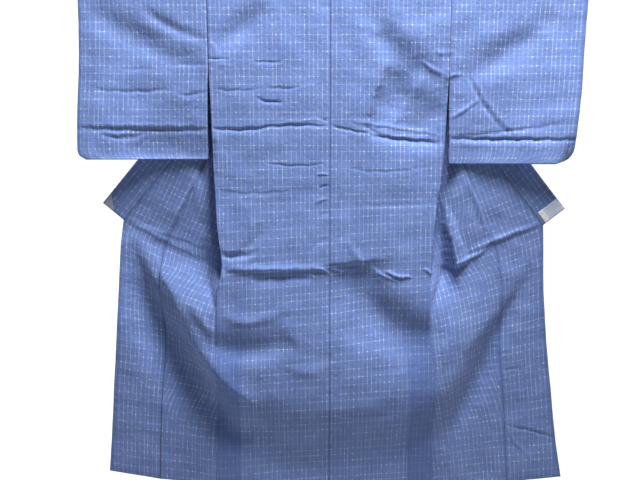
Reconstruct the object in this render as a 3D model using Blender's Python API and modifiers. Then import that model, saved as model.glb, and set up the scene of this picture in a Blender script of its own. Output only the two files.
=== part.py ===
"""An unlined kimono, hung from a straight rod through its sleeves and seen from the back, its fronts opened outwards.

Frame: the origin is the middle of the rod, +X to the right in the photo, +Z up, and the garment's back faces -Y.
All lengths are in metres. Cloth is modelled as a sheet of points in the middle of the wall, given its thickness by Solidify.
"""

import math

import bmesh
import bpy
import numpy as np

# Sizes of the rod and the cloth
ROD_RADIUS = 0.011
ROD_LENGTH = 1.46
ROD_SIDES = 32
CLOTH = 0.0012
COLLAR_THICKNESS = 0.0024
END_CLOTH_THICKNESS = 0.0008
SEAM_GAP = 0.0003
# The same gap where two seams' rows turn against each other
WIDE_GAP = 0.0005
# The cloth passes over the rod in flat steps of this angle, and this is the radius of its corners
TURN_STEPS = 6
HANG_RADIUS = (ROD_RADIUS + SEAM_GAP + CLOTH / 2) / math.cos(math.pi / 2 / TURN_STEPS)

# Sizes of the garment
NECK_HALF_WIDTH = 0.088
NECK_DEPTH = 0.022
COLLAR_AT_NECK = 0.055
COLLAR_AT_END = 0.071
# The front panel is folded back on itself behind the back panel; this is the radius of that fold
FOLD_RADIUS = 0.0045
# Distance from the middle of the back panel's cloth to the inner layer of the front, and to it at the side seam
BEHIND_BACK = 0.0070
AT_SIDE_SEAM = 0.0024
# The inner layer leaves the rod's plane at the first distance down, and follows the back from the second
LEAVES_ROD = 0.50
FOLLOWS_BACK = 0.72
# The side seam closes over these distances down, across a strip of this width
SIDE_SEAM_STARTS = 0.34
SIDE_SEAM_CLOSED = 0.44
SIDE_SEAM_WIDTH = 0.06
# Width beside the back panel over which the opened front comes forward into view
COMES_FORWARD = 0.06
# Where the free edge lies, counted in the front panel's own opened width from its fold
EDGE_SHARE = 1.8
# Distance down the front over which its flap turns from standing out to lying flat
FLAP_TURN = 0.16
# Distance down the front at which its points are no longer spread evenly
EVEN_UNTIL = 0.06
# Distance down the front at which the overlap panel starts, and at which the collar ends
OKUMI_TOP = 0.23
COLLAR_END = 0.77
# Distance down the front over which the crease under the collar end turns into the hanging skirt
CREASE_WIDTH = 0.20
FRONT_LENGTH = 1.50

# Side edge of each back panel: height, and distance from the centre seam
SIDE_COLUMNS = ("z", "left", "right")
SIDE = [
    (0.000, 0.316, 0.310),
    (-0.235, 0.316, 0.310),
    (-0.280, 0.314, 0.309),
    (-0.460, 0.309, 0.304),
    (-0.516, 0.307, 0.296),
    (-0.640, 0.301, 0.281),
    (-0.745, 0.290, 0.275),
    (-0.830, 0.304, 0.269),
    (-0.950, 0.307, 0.274),
    (-1.090, 0.313, 0.288),
    (-1.210, 0.317, 0.287),
    (-1.395, 0.322, 0.293),
]

# Each front, a row for each distance down the cloth: the fold behind the back panel, the seam between
# the front and the overlap panel, and the free edge, which the collar covers down to COLLAR_END.
# Distances from the centre are outwards.
FRONT_COLUMNS = ("down", "fold_x", "fold_z", "seam_x", "seam_z", "edge_x", "edge_z")
FRONT_LEFT = [
    (0.00, 0.088, 0.000, 0.088, 0.000, 0.088, 0.000),
    (0.12, 0.116, -0.120, 0.147, -0.105, 0.147, -0.105),
    (0.23, 0.142, -0.230, 0.201, -0.200, 0.204, -0.199),
    (0.50, 0.206, -0.500, 0.321, -0.442, 0.382, -0.412),
    (0.77, 0.250, -0.770, 0.446, -0.684, 0.564, -0.626),
    (0.80, 0.250, -0.790, 0.458, -0.712, 0.568, -0.655),
    (0.95, 0.266, -0.910, 0.467, -0.840, 0.580, -0.800),
    (1.10, 0.272, -1.030, 0.464, -0.980, 0.591, -0.950),
    (1.25, 0.280, -1.160, 0.472, -1.120, 0.605, -1.100),
    (1.40, 0.286, -1.285, 0.481, -1.265, 0.619, -1.250),
    (1.50, 0.289, -1.392, 0.487, -1.374, 0.630, -1.348),
]
FRONT_RIGHT = [
    (0.00, 0.088, 0.000, 0.088, 0.000, 0.088, 0.000),
    (0.12, 0.116, -0.122, 0.150, -0.105, 0.150, -0.105),
    (0.23, 0.142, -0.235, 0.207, -0.202, 0.210, -0.201),
    (0.50, 0.206, -0.510, 0.345, -0.449, 0.405, -0.421),
    (0.77, 0.236, -0.785, 0.447, -0.690, 0.578, -0.638),
    (0.80, 0.234, -0.800, 0.455, -0.715, 0.580, -0.668),
    (0.95, 0.236, -0.915, 0.473, -0.845, 0.587, -0.805),
    (1.10, 0.246, -1.035, 0.476, -0.985, 0.602, -0.955),
    (1.25, 0.262, -1.165, 0.490, -1.130, 0.623, -1.105),
    (1.40, 0.272, -1.290, 0.503, -1.270, 0.645, -1.255),
    (1.50, 0.280, -1.395, 0.512, -1.385, 0.667, -1.367),
]

# Each sleeve: height, inner edge and outer edge
SLEEVE_COLUMNS = ("z", "inner", "outer")
SLEEVE_LEFT = [
    (0.000, 0.3165, 0.643),
    (-0.232, 0.3165, 0.648),
    (-0.260, 0.3185, 0.650),
    (-0.400, 0.3220, 0.655),
    (-0.436, 0.3225, 0.655),
    (-0.450, 0.3228, 0.651),
    (-0.462, 0.3230, 0.634),
]
SLEEVE_RIGHT = [
    (0.000, 0.3105, 0.661),
    (-0.232, 0.3105, 0.652),
    (-0.275, 0.3115, 0.650),
    (-0.385, 0.3110, 0.640),
    (-0.436, 0.3105, 0.634),
    (-0.460, 0.3105, 0.622),
    (-0.474, 0.3110, 0.585),
]
# Length of the cuff's opening, and of the seam that joins each sleeve to the body
CUFF_OPENING = 0.23
SLEEVE_SEAMS = {"left": 0.232, "right": 0.275}
# Width over which the sleeve's layers close at its sewn edges
SLEEVE_CLOSES = 0.03

FRONTS = {"left": FRONT_LEFT, "right": FRONT_RIGHT}
SLEEVES = {"left": SLEEVE_LEFT, "right": SLEEVE_RIGHT}
MIRROR = {"left": -1, "right": 1}

# How far forward of the rod's plane the cloth hangs, down the middle of the back
HANG_COLUMNS = ("z", "forward")
HANG = [
    (0.00, HANG_RADIUS),
    (-0.10, 0.0122),
    (-0.34, 0.0140),
    (-0.375, 0.0185),
    (-0.395, 0.0135),
    (-0.55, 0.0180),
    (-0.72, 0.0300),
    (-0.748, 0.0330),
    (-0.775, 0.0220),
    (-0.90, 0.0280),
    (-1.10, 0.0300),
    (-1.395, 0.0220),
]

# The large swag between the two collar ends: its lowest line, as distance across and height
SWAG_COLUMNS = ("x", "z")
SWAG = [
    (-0.60, -0.56),
    (-0.56, -0.66),
    (-0.46, -0.92),
    (-0.35, -1.09),
    (-0.25, -1.23),
    (0.00, -1.30),
    (0.19, -1.28),
    (0.33, -1.21),
    (0.41, -1.06),
    (0.475, -0.92),
    (0.565, -0.72),
    (0.62, -0.56),
]
SWAG_FORWARD = 0.030
SWAG_RISE = 0.15
SWAG_FADE = 0.55

# The largest folds, each a soft ridge, or a hollow where its height is negative, along an arc from
# (x0, z0) to (x2, z2) that (x1, z1) draws towards itself
FOLD_COLUMNS = ("x0", "z0", "x1", "z1", "x2", "z2", "width", "height")
FOLDS = {
    "left_swag": (-0.531, -0.653, -0.445, -0.838, -0.293, -0.911, 0.035, 0.010),
    "left_swag_low": (-0.296, -1.042, -0.187, -1.117, -0.068, -1.217, 0.040, 0.009),
    "right_inner_swag": (0.054, -0.661, 0.097, -0.936, 0.274, -0.936, 0.040, 0.010),
    "right_front_swag": (0.274, -0.936, 0.409, -0.889, 0.548, -0.648, 0.035, 0.010),
    "right_hollow": (0.168, -0.789, 0.217, -0.838, 0.267, -0.889, 0.030, -0.009),
    "left_hollow": (-0.340, -0.936, -0.232, -1.007, -0.108, -0.936, 0.035, -0.008),
    "shoulder_left": (-0.605, -0.069, -0.497, -0.186, -0.325, -0.225, 0.040, -0.005),
    "shoulder_left_body": (-0.172, -0.064, -0.229, -0.137, -0.298, -0.176, 0.035, -0.005),
    "shoulder_right": (0.579, -0.088, 0.459, -0.210, 0.312, -0.255, 0.040, -0.005),
    "shoulder_right_body": (0.105, -0.069, 0.165, -0.215, 0.294, -0.255, 0.035, -0.005),
    "right_back_hollow": (0.126, -0.137, 0.158, -0.235, 0.194, -0.348, 0.035, -0.006),
    "skirt_left": (-0.450, -0.965, -0.345, -1.138, -0.223, -1.286, 0.030, -0.005),
    "skirt_right": (0.467, -0.979, 0.413, -1.138, 0.283, -1.256, 0.030, -0.005),
}
FOLD_STEPS = 10

# Depth of the opened front between the sleeve and the crease under it: distance down the cloth, and forward
FRONT_DEPTH_COLUMNS = ("down", "inner", "outer")
FRONT_DEPTH = [
    (0.00, -0.024, -0.026),
    (0.48, -0.024, -0.030),
    (0.58, -0.018, -0.025),
    (0.68, -0.004, -0.014),
    (0.77, 0.012, 0.000),
]

# Direction across the fold behind the back, outwards and up, as (x, z)
FOLD_NORMAL = np.array([0.973, 0.230])

# Half of the collar's seam round the neck, from the rear of the rod to the centre back:
# across, back to front, height, and the direction in which the collar stands up from it
NECK_COLUMNS = ("x", "y", "z", "dx", "dy", "dz")
NECK = [
    (0.0864, 0.0130, 0.0000, 0.10, 0.80, 0.60),
    (0.0864, 0.0094, 0.0094, 0.05, 0.45, 0.90),
    (0.0864, 0.0000, 0.0132, 0.00, 0.10, 1.00),
    (0.0864, -0.0094, 0.0094, 0.00, -0.15, 1.00),
    (0.0864, -0.0130, 0.0010, -0.02, -0.30, 0.95),
    (0.0760, -0.0130, -0.0098, -0.02, -0.30, 0.95),
    (0.0450, -0.0126, -0.0178, -0.02, -0.30, 0.95),
    (0.0000, -0.0126, -0.0208, 0.00, -0.30, 0.95),
]

# Distances down the front at which its pieces have a row of points
FRONT_ROWS = np.concatenate([
    np.array([0.01, 0.03, 0.05, 0.08, 0.12, 0.17, OKUMI_TOP]),
    np.array([0.26, 0.31, 0.350, 0.372, 0.385, 0.398, 0.44, 0.50, 0.56, 0.62, 0.68]),
    np.array([0.72, 0.745, COLLAR_END, 0.785, 0.80, 0.83, 0.87]),
    np.linspace(0.93, FRONT_LENGTH, 11),
])

INDIGO = (0.060, 0.070, 0.125, 1.0)
PALE = (0.55, 0.56, 0.60, 1.0)
BAMBOO = (0.50, 0.36, 0.20, 1.0)


def column(table, columns, name):
    """One named column of a table, as an array."""
    return np.array([row[columns.index(name)] for row in table], float)


def along(table, columns, key, name, at):
    """A table's column as a smooth function of its key column, with no overshoot between rows."""
    keys = column(table, columns, key)
    values = column(table, columns, name)
    order = np.argsort(keys)
    keys, values = keys[order], values[order]
    steps = np.diff(keys)
    slopes = np.diff(values) / steps
    tangents = np.zeros_like(values)
    same_way = slopes[1:] * slopes[:-1] > 0
    mean = 2 * slopes[1:] * slopes[:-1] / np.where(same_way, slopes[1:] + slopes[:-1], 1)
    tangents[1:-1] = np.where(same_way, mean, 0)
    tangents[0], tangents[-1] = slopes[0], slopes[-1]
    at = np.clip(np.asarray(at, float), keys[0], keys[-1])
    i = np.clip(np.searchsorted(keys, at) - 1, 0, len(steps) - 1)
    h = steps[i]
    t = (at - keys[i]) / h
    return (
        values[i] * (1 + 2 * t) * (1 - t) ** 2
        + tangents[i] * h * t * (1 - t) ** 2
        + values[i + 1] * t * t * (3 - 2 * t)
        - tangents[i + 1] * h * t * t * (1 - t)
    )


def ease(t):
    """0 below 0, 1 above 1, and a smooth step between."""
    t = np.clip(t, 0, 1)
    return t * t * (3 - 2 * t)


def folds(x, z):
    """Sum of the ridges and hollows: each height fades with the distance from its arc, and towards the arc's ends."""
    total = 0 * (x + z)
    for row in FOLDS.values():
        x0, z0, x1, z1, x2, z2, width, height = row
        t = np.linspace(0, 1, FOLD_STEPS + 1)
        arc_x = x0 * (1 - t) ** 2 + 2 * x1 * t * (1 - t) + x2 * t * t
        arc_z = z0 * (1 - t) ** 2 + 2 * z1 * t * (1 - t) + z2 * t * t
        ends = 0.25 + 0.75 * np.sin(math.pi * t)
        near = np.exp(-((x[..., None] - arc_x) ** 2 + (z[..., None] - arc_z) ** 2) / width**2)
        total = total + height * (near * ends).max(-1)
    return total


def forward(x, z):
    """How far the visible cloth hangs forward of the rod's plane: the straight hang, the large swag and the folds."""
    x, z = np.broadcast_arrays(np.asarray(x, float), np.asarray(z, float))
    height = z - along(SWAG, SWAG_COLUMNS, "x", "z", x)
    swag = ease(height / SWAG_RISE) * (1 - ease((height - SWAG_RISE) / SWAG_FADE))
    hang = along(HANG, HANG_COLUMNS, "z", "forward", z) + SWAG_FORWARD * swag * ease(-z / 0.5)
    return hang + folds(x, z) * ease((-z - 0.03) / 0.08)


def rear(z):
    """y of the rear layer of the shoulders and sleeves: straight down from the rod, drawn in a little."""
    return HANG_RADIUS - 0.002 * ease(-z / 0.3)


def side_edge(side, z):
    """Distance of a back panel's side edge from the centre."""
    return along(SIDE, SIDE_COLUMNS, "z", side, z)


def neckline(z):
    """Distance from the centre of the inner edge of a back panel: the centre seam, then the curved neck."""
    depth = np.clip(-z / NECK_DEPTH, 0, 1)
    return np.where(z < -NECK_DEPTH, 0, NECK_HALF_WIDTH * np.sqrt(1 - depth**2)) + SEAM_GAP / 2


def back_points(side, across, z):
    """Points of the back panel. across is 0 at the side edge and 1 at the centre seam or the neck."""
    edge = side_edge(side, z)
    x = edge + (neckline(z) - edge) * across
    mirror = MIRROR[side]
    return np.stack([mirror * x, -forward(mirror * x, z), z + 0 * x], -1)


def shoulder_points(side, across, turn):
    """Points over the rod. turn runs from 0 at its front to pi at its rear."""
    edge = side_edge(side, 0.0)
    x = edge + (NECK_HALF_WIDTH + SEAM_GAP / 2 - edge) * across
    mirror = MIRROR[side]
    y = -HANG_RADIUS * np.cos(turn) + 0 * x
    return np.stack([mirror * x, y, HANG_RADIUS * np.sin(turn) + 0 * x], -1)


def front_lines(side, down):
    """The fold, the seam and the free edge of a front at a distance down the cloth, as (x, z) outwards from the centre."""
    # The lines have a corner where the collar ends, so the rows above and below it make two curves
    upper = [row for row in FRONTS[side] if row[0] <= COLLAR_END]
    lower = [row for row in FRONTS[side] if row[0] >= COLLAR_END]

    def line(name):
        above = along(upper, FRONT_COLUMNS, "down", name, down)
        return np.where(down <= COLLAR_END, above, along(lower, FRONT_COLUMNS, "down", name, down))

    return [np.stack([line(name + "_x"), line(name + "_z")], -1) for name in ("fold", "seam", "edge")]


def inner_depth(side, x, z, down):
    """y of the inner layer of a front, which follows the back panel once it is below the sleeves."""
    mirror = MIRROR[side]
    behind_back = -forward(mirror * x, z) + BEHIND_BACK
    return rear(-down) + (behind_back - rear(-down)) * ease((down - LEAVES_ROD) / (FOLLOWS_BACK - LEAVES_ROD))


def opened_front(side, point, down, beyond):
    """The opened layer of a front. point is (x, z) on it, and beyond its share of the way from the fold to the seam."""
    mirror = MIRROR[side]
    fold, _, _ = front_lines(side, down)
    x, z = point[..., 0], point[..., 1]
    # Over the first few centimetres the flap still stands out to the rear instead of lying flat
    flat = ease(down / FLAP_TURN)
    turned = math.pi / 2 * (1 + flat)
    width = (point - fold) @ FOLD_NORMAL
    x = x - width * (1 + np.cos(turned)) * FOLD_NORMAL[0]
    z = z - width * (1 + np.cos(turned)) * FOLD_NORMAL[1]
    behind = inner_depth(side, x, z, down) + FOLD_RADIUS * (1 - np.cos(turned)) + width * np.sin(turned)
    # Outside the back panel's edge the front comes forward into view
    out_of_back = ease((x - side_edge(side, z)) / COMES_FORWARD)
    inner = along(FRONT_DEPTH, FRONT_DEPTH_COLUMNS, "down", "inner", down)
    outer = along(FRONT_DEPTH, FRONT_DEPTH_COLUMNS, "down", "outer", down)
    upper = -(inner + (outer - inner) * ease(beyond / EDGE_SHARE))
    lower = -forward(mirror * x, z)
    in_view = upper + (lower - upper) * ease((down - COLLAR_END) / CREASE_WIDTH)
    y = behind + (in_view - behind) * out_of_back
    return np.stack([mirror * x, y, z], -1)


def front_points(side, down, inner=4, roll=3, outer=4):
    """One row of the front panel: from the side edge inwards behind the back, round the fold, and out to the seam."""
    mirror = MIRROR[side]
    fold, seam, _ = front_lines(side, down)
    edge_x = side_edge(side, fold[1])
    edge = np.array([edge_x, fold[1] if down > SIDE_SEAM_STARTS else -down])
    # Inner layer, drawn up to the back panel at the side seam
    q = np.linspace(0, 1, inner + 1)[:, None]
    flat = edge + (fold - edge) * q
    x, z = flat[:, 0], flat[:, 1]
    depth = inner_depth(side, x, z, down)
    at_seam = -forward(mirror * x, z) + AT_SIDE_SEAM
    drawn_in = min(SIDE_SEAM_WIDTH, 0.9 * (edge_x - fold[0]))
    sewn = ease((down - SIDE_SEAM_STARTS) / (SIDE_SEAM_CLOSED - SIDE_SEAM_STARTS)) * (1 - ease((edge_x - x) / drawn_in))
    layer = np.stack([mirror * x, depth + (at_seam - depth) * sewn, z], -1)
    # The fold itself, a half turn of small radius
    turned = math.pi / 2 * (1 + float(ease(down / FLAP_TURN)))
    angle = np.linspace(0, turned, roll + 1)[1:, None]
    bent = fold - np.concatenate([FOLD_RADIUS * np.sin(angle), 0 * angle], -1)
    depth = inner_depth(side, bent[:, :1], bent[:, 1:], down)
    bend = np.concatenate([mirror * bent[:, :1], depth + FOLD_RADIUS * (1 - np.cos(angle)), bent[:, 1:]], -1)
    # Outer layer, from the fold to the seam
    q = np.linspace(0, 1, outer + 1)[1:, None]
    opened = opened_front(side, fold + (seam - fold) * q, down, q[:, 0])
    folded = np.concatenate([layer, bend, opened])
    # At the shoulder the same columns lie evenly across the panel
    across = np.linspace(0, 1, len(folded))
    even = folded[0] + (folded[-1] - folded[0]) * across[:, None]
    return even + (folded - even) * float(ease(down / EVEN_UNTIL))


def okumi_points(side, down, columns=4):
    """One row of the overlap panel, from its seam to its free edge."""
    _, seam, edge = front_lines(side, down)
    width = np.linalg.norm(edge - seam)
    start = seam + (edge - seam) * WIDE_GAP / width
    q = np.linspace(0, 1, columns + 1)[:, None]
    beyond = 1 + q[:, 0] * (EDGE_SHARE - 1)
    return opened_front(side, start + (edge - start) * q, down, beyond)


def new_object(name, mesh, material, collection):
    """Adds a mesh to the collection, with its own material."""
    obj = bpy.data.objects.new(name, mesh)
    obj.data.materials.append(material)
    collection.objects.link(obj)
    return obj


def cloth_material(name, colour, roughness):
    """A Principled material for one node."""
    material = bpy.data.materials.new(name)
    material.use_nodes = True
    shader = material.node_tree.nodes["Principled BSDF"]
    shader.inputs["Base Color"].default_value = colour
    shader.inputs["Roughness"].default_value = roughness
    return material


def sheet(name, points, thickness, material, collection, closed=False):
    """A grid moved to the given rows and columns of points, then thickened evenly on both sides."""
    rows, columns = points.shape[:2]
    cloth = bmesh.new()
    bmesh.ops.create_grid(cloth, x_segments=columns - 1, y_segments=rows - 1, size=1)
    cloth.verts.ensure_lookup_table()
    for vert in cloth.verts:
        i = round((vert.co.y + 1) / 2 * (rows - 1))
        j = round((vert.co.x + 1) / 2 * (columns - 1))
        vert.co = points[i, j]
    if closed:
        bmesh.ops.remove_doubles(cloth, verts=cloth.verts, dist=1e-5)
    bmesh.ops.triangulate(cloth, faces=cloth.faces)
    mesh = bpy.data.meshes.new(name)
    cloth.to_mesh(mesh)
    cloth.free()
    obj = new_object(name, mesh, material, collection)
    wall = obj.modifiers.new("Wall", "SOLIDIFY")
    wall.thickness = thickness
    wall.offset = 0
    return obj


def body_rows(side):
    """All rows of a body length: up the back, over the rod and down the front."""
    columns = 12
    across = np.linspace(0, 1, columns) ** 1.2
    # Below the armhole the back and the inner layer of the front share their heights
    shared = [front_lines(side, down)[0][1] for down in FRONT_ROWS if down > SIDE_SEAM_STARTS]
    heights = np.concatenate([
        shared[::-1],
        np.linspace(-0.29, -0.06, 5),
        np.array([-0.035, -NECK_DEPTH, -0.0185, -0.0110]),
    ])
    rows = [back_points(side, across, np.full(columns, z)) for z in heights]
    rows += [shoulder_points(side, across, turn) for turn in np.linspace(0, math.pi, TURN_STEPS + 1)]
    rows += [front_points(side, down) for down in FRONT_ROWS]
    return np.array(rows)


def okumi_rows(side):
    """All rows of an overlap panel, from just under its point to the hem."""
    return np.array([okumi_points(side, down) for down in FRONT_ROWS if down > OKUMI_TOP])


def sleeve_loop(side):
    """All points of a sleeve: each row runs from the inner to the outer edge, and the rows go round the tube."""
    table = SLEEVES[side]
    mirror = MIRROR[side]
    seam = SLEEVE_SEAMS[side]
    bottom = table[-1][0]
    across = np.linspace(0, 1, 9) ** 0.85
    heights = np.concatenate([
        np.array([bottom + 0.004, bottom + 0.012, bottom + 0.026, bottom + 0.05]),
        np.array([-0.398, -0.385, -0.372, -0.345, -0.29, -0.25, -0.22, -0.17, -0.11, -0.05, -0.02]),
    ])

    def layers(z):
        """Front and rear y of one row of the sleeve, and its x."""
        inner = along(table, SLEEVE_COLUMNS, "z", "inner", z)
        outer = along(table, SLEEVE_COLUMNS, "z", "outer", z)
        x = inner + (outer - inner) * across
        front = -forward(mirror * x, z) + 0.002 * ease((-z - seam) / 0.05)
        back = rear(z) + 0 * x
        middle = (front + back) / 2
        half = (back - front) / 2
        # Sewn shut at the outer edge below the cuff opening, and at the bottom
        shut = ease((-z - CUFF_OPENING) / 0.04) * (1 - ease((outer - x) / SLEEVE_CLOSES))
        shut = np.maximum(shut, 0.85 * (1 - ease((z - bottom) / 0.05)))
        half = np.maximum(half * (1 - shut), CLOTH / 2 + SEAM_GAP)
        return x, middle - half, middle + half

    rows = []
    x, front, back = layers(np.float64(bottom))
    foot = np.stack([mirror * x, (front + back) / 2, np.full_like(x, bottom)], -1)
    rows.append(foot)
    for z in heights:
        x, front, _ = layers(z)
        rows.append(np.stack([mirror * x, front, np.full_like(x, z)], -1))
    x, _, _ = layers(np.float64(0.0))
    for turn in np.linspace(0, math.pi, TURN_STEPS + 1):
        y = np.full_like(x, -HANG_RADIUS * math.cos(turn))
        rows.append(np.stack([mirror * x, y, np.full_like(x, HANG_RADIUS * math.sin(turn))], -1))
    for z in heights[::-1]:
        x, _, back = layers(z)
        rows.append(np.stack([mirror * x, back, np.full_like(x, z)], -1))
    rows.append(foot)
    return np.array(rows)


def collar_stations(side):
    """Half of the collar: its seam edge and its free edge, from the tip to the centre back."""
    mirror = MIRROR[side]
    seam_edge, free_edge = [], []
    for down in FRONT_ROWS[FRONT_ROWS <= COLLAR_END][::-1]:
        _, seam, edge = front_lines(side, down)
        _, _, above = front_lines(side, down - 0.02)
        _, _, below = front_lines(side, min(down + 0.02, COLLAR_END))
        run = (below - above) / np.linalg.norm(below - above)
        out = np.array([-run[1], run[0]])
        start = edge + out * (SEAM_GAP + WIDE_GAP)
        width = COLLAR_AT_NECK + (COLLAR_AT_END - COLLAR_AT_NECK) * down / COLLAR_END
        seam_edge.append(opened_front(side, start, down, EDGE_SHARE))
        # Near the neck the collar still stands out to the rear
        lying = float(ease((down - 0.03) / FLAP_TURN))
        direction = np.array([mirror * out[0] * lying, 1.0 - lying, out[1] * lying + 0.35 * (1 - lying)])
        direction /= np.linalg.norm(direction)
        lean = np.array([0.0, 0.10 * ease((down - 0.5) / 0.2), 0.0])
        free_edge.append(seam_edge[-1] + (direction + lean) * width)
    for row in NECK:
        named = dict(zip(NECK_COLUMNS, row))
        seam = np.array([mirror * named["x"], named["y"], named["z"]])
        direction = np.array([mirror * named["dx"], named["dy"], named["dz"]])
        seam_edge.append(seam)
        free_edge.append(seam + direction / np.linalg.norm(direction) * COLLAR_AT_NECK)
    return np.array(seam_edge), np.array(free_edge)


def collar_points(columns=3):
    """The whole collar, from the left tip round the neck to the right tip."""
    left_seam, left_free = collar_stations("left")
    right_seam, right_free = collar_stations("right")
    seam = np.concatenate([left_seam, right_seam[-2::-1]])
    free = np.concatenate([left_free, right_free[-2::-1]])
    q = np.linspace(0, 1, columns)[None, :, None]
    return seam[:, None] + (free - seam)[:, None] * q


def end_cloth_points(side, along_collar, across_collar, pointed):
    """A small cloth on the collar's end: the collar's own surface, moved out of its face."""
    seam, free = collar_stations(side)
    length = np.linalg.norm(seam[1] - seam[0])
    t = np.linspace(0.02, 1, 3)[:, None, None] * along_collar / length
    low, high = across_collar
    q = np.linspace(low, high, 4)[None, :, None]
    if pointed:
        # The inner corner is cut off, which leaves a triangle at the tip
        q = high - (high - q) * (1 - 0.92 * t / t.max())
    first = seam[0] + (free[0] - seam[0]) * q
    second = seam[1] + (free[1] - seam[1]) * q
    points = first + (second - first) * t
    normal = np.cross(seam[1] - seam[0], free[0] - seam[0])
    normal *= -np.sign(normal[1]) / np.linalg.norm(normal)
    return points + normal * (COLLAR_THICKNESS / 2 + END_CLOTH_THICKNESS / 2 + SEAM_GAP)


def rod(collection, material):
    """The straight rod that the garment hangs on, along X."""
    stick = bmesh.new()
    bmesh.ops.create_cone(
        stick, cap_ends=True, segments=ROD_SIDES, radius1=ROD_RADIUS, radius2=ROD_RADIUS, depth=ROD_LENGTH
    )
    for vert in stick.verts:
        vert.co = (vert.co.z, vert.co.y, -vert.co.x)
    mesh = bpy.data.meshes.new("rod")
    stick.to_mesh(mesh)
    stick.free()
    new_object("rod", mesh, material, collection)


def main():
    for obj in list(bpy.data.objects):
        bpy.data.objects.remove(obj)
    collection = bpy.data.collections.new("kimono")
    bpy.context.scene.collection.children.link(collection)
    for side in ("left", "right"):
        pieces = (("body_", body_rows(side), False), ("okumi_", okumi_rows(side), False), ("sleeve_", sleeve_loop(side), True))
        for name, points, closed in pieces:
            material = cloth_material(name + side + "_cloth", INDIGO, 0.85)
            sheet(name + side, points, CLOTH, material, collection, closed)
    sheet("collar", collar_points(), COLLAR_THICKNESS, cloth_material("collar_cloth", INDIGO, 0.85), collection)
    right_end = end_cloth_points("right", 0.036, (0.10, 0.96), False)
    left_end = end_cloth_points("left", 0.034, (0.45, 0.97), True)
    sheet("collar_end_right", right_end, END_CLOTH_THICKNESS, cloth_material("end_cloth_right", PALE, 0.9), collection)
    sheet("collar_end_left", left_end, END_CLOTH_THICKNESS, cloth_material("end_cloth_left", PALE, 0.9), collection)
    rod(collection, cloth_material("rod_bamboo", BAMBOO, 0.5))


main()
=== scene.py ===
# %% [markdown]
# # An unlined kimono, hung from a rod
# This script dresses a model of a cotton kimono that hangs from a straight rod through its sleeves.
# We look at its back, and both fronts are folded behind it and opened outwards again. The solid
# model is loaded first. It fixes every size, and each cloth below is a thin shell that takes the
# place of one solid.

# %% Load the solid model
import math

import bpy
import numpy as np
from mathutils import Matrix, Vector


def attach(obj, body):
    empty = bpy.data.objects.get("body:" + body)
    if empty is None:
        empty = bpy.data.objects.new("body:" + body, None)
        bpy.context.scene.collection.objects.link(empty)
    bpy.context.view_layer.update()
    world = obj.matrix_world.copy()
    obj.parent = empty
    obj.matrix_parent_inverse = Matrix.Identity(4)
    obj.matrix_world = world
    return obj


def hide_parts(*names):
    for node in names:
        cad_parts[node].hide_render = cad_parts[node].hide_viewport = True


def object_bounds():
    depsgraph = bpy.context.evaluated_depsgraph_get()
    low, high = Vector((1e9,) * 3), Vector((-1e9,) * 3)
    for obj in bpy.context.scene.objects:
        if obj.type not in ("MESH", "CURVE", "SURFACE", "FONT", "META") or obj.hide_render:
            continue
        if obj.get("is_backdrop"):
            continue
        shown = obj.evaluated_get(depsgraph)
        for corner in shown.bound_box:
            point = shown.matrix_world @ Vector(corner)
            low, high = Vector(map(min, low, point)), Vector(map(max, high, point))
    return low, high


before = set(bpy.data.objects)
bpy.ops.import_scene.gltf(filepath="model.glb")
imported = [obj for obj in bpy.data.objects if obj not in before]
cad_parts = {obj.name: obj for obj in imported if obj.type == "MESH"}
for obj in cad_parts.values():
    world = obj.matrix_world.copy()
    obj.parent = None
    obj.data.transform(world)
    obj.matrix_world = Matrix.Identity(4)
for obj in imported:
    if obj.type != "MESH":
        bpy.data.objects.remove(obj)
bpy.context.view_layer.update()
print("nodes:", ", ".join(sorted(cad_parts)))

# %% [markdown]
# ## The camera
# The photo was taken from a little above the middle of the back, slightly tilted down. The upright
# seams run almost parallel, so the camera looks straight at the wall and only its pitch matters. A
# normal lens fits.

# %% Camera
TILTED_DOWN = 8.4
camera_data = bpy.data.cameras.new("camera")
camera_data.sensor_width = 36.0
camera_data.lens = 33.75
camera = bpy.data.objects.new("camera", camera_data)
camera.location = (-0.026, -1.616, -0.441)
camera.rotation_euler = (math.radians(90 - TILTED_DOWN), 0, 0)
bpy.context.scene.collection.objects.link(camera)
bpy.context.scene.camera = camera
# Colours are shown as they are, without the film-like curve that would grey the indigo
bpy.context.scene.view_settings.view_transform = "Standard"
print("camera at", [round(v, 3) for v in camera.location], "tilted down", TILTED_DOWN, "degrees")

# %% [markdown]
# ## A helper for materials
# A material is a small network of nodes. One helper adds a node, sets its values and links its
# inputs, so that each material below reads as a short list. Colours are given as on the web and
# turned to linear light.

# %% Colour and node helpers
def linear(code):
    """Linear RGBA from a hex sRGB colour: each channel is undone from the screen's curve."""
    values = np.array([int(code[i:i + 2], 16) for i in (1, 3, 5)]) / 255
    values = np.where(values <= 0.04045, values / 12.92, ((values + 0.055) / 1.055) ** 2.4)
    return (*values.tolist(), 1.0)


def add_node(tree, kind, settings=None, inputs=None):
    """Adds a node. settings are its properties; inputs are values, or the output sockets to link."""
    made = tree.nodes.new("ShaderNode" + kind)
    for name, value in (settings or {}).items():
        setattr(made, name, value)
    for name, value in (inputs or {}).items():
        if isinstance(value, bpy.types.NodeSocket):
            tree.links.new(value, made.inputs[name])
        else:
            made.inputs[name].default_value = value
    return made


def new_material(name):
    """An empty node material with one Principled shader, and that shader."""
    material = bpy.data.materials.new(name)
    material.use_nodes = True
    return material, material.node_tree, material.node_tree.nodes["Principled BSDF"]


print("middle grey in linear light:", round(linear("#808080")[0], 3))

# %% [markdown]
# ## The studio
# A real garment of this kind is shown on a plain wall.

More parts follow.
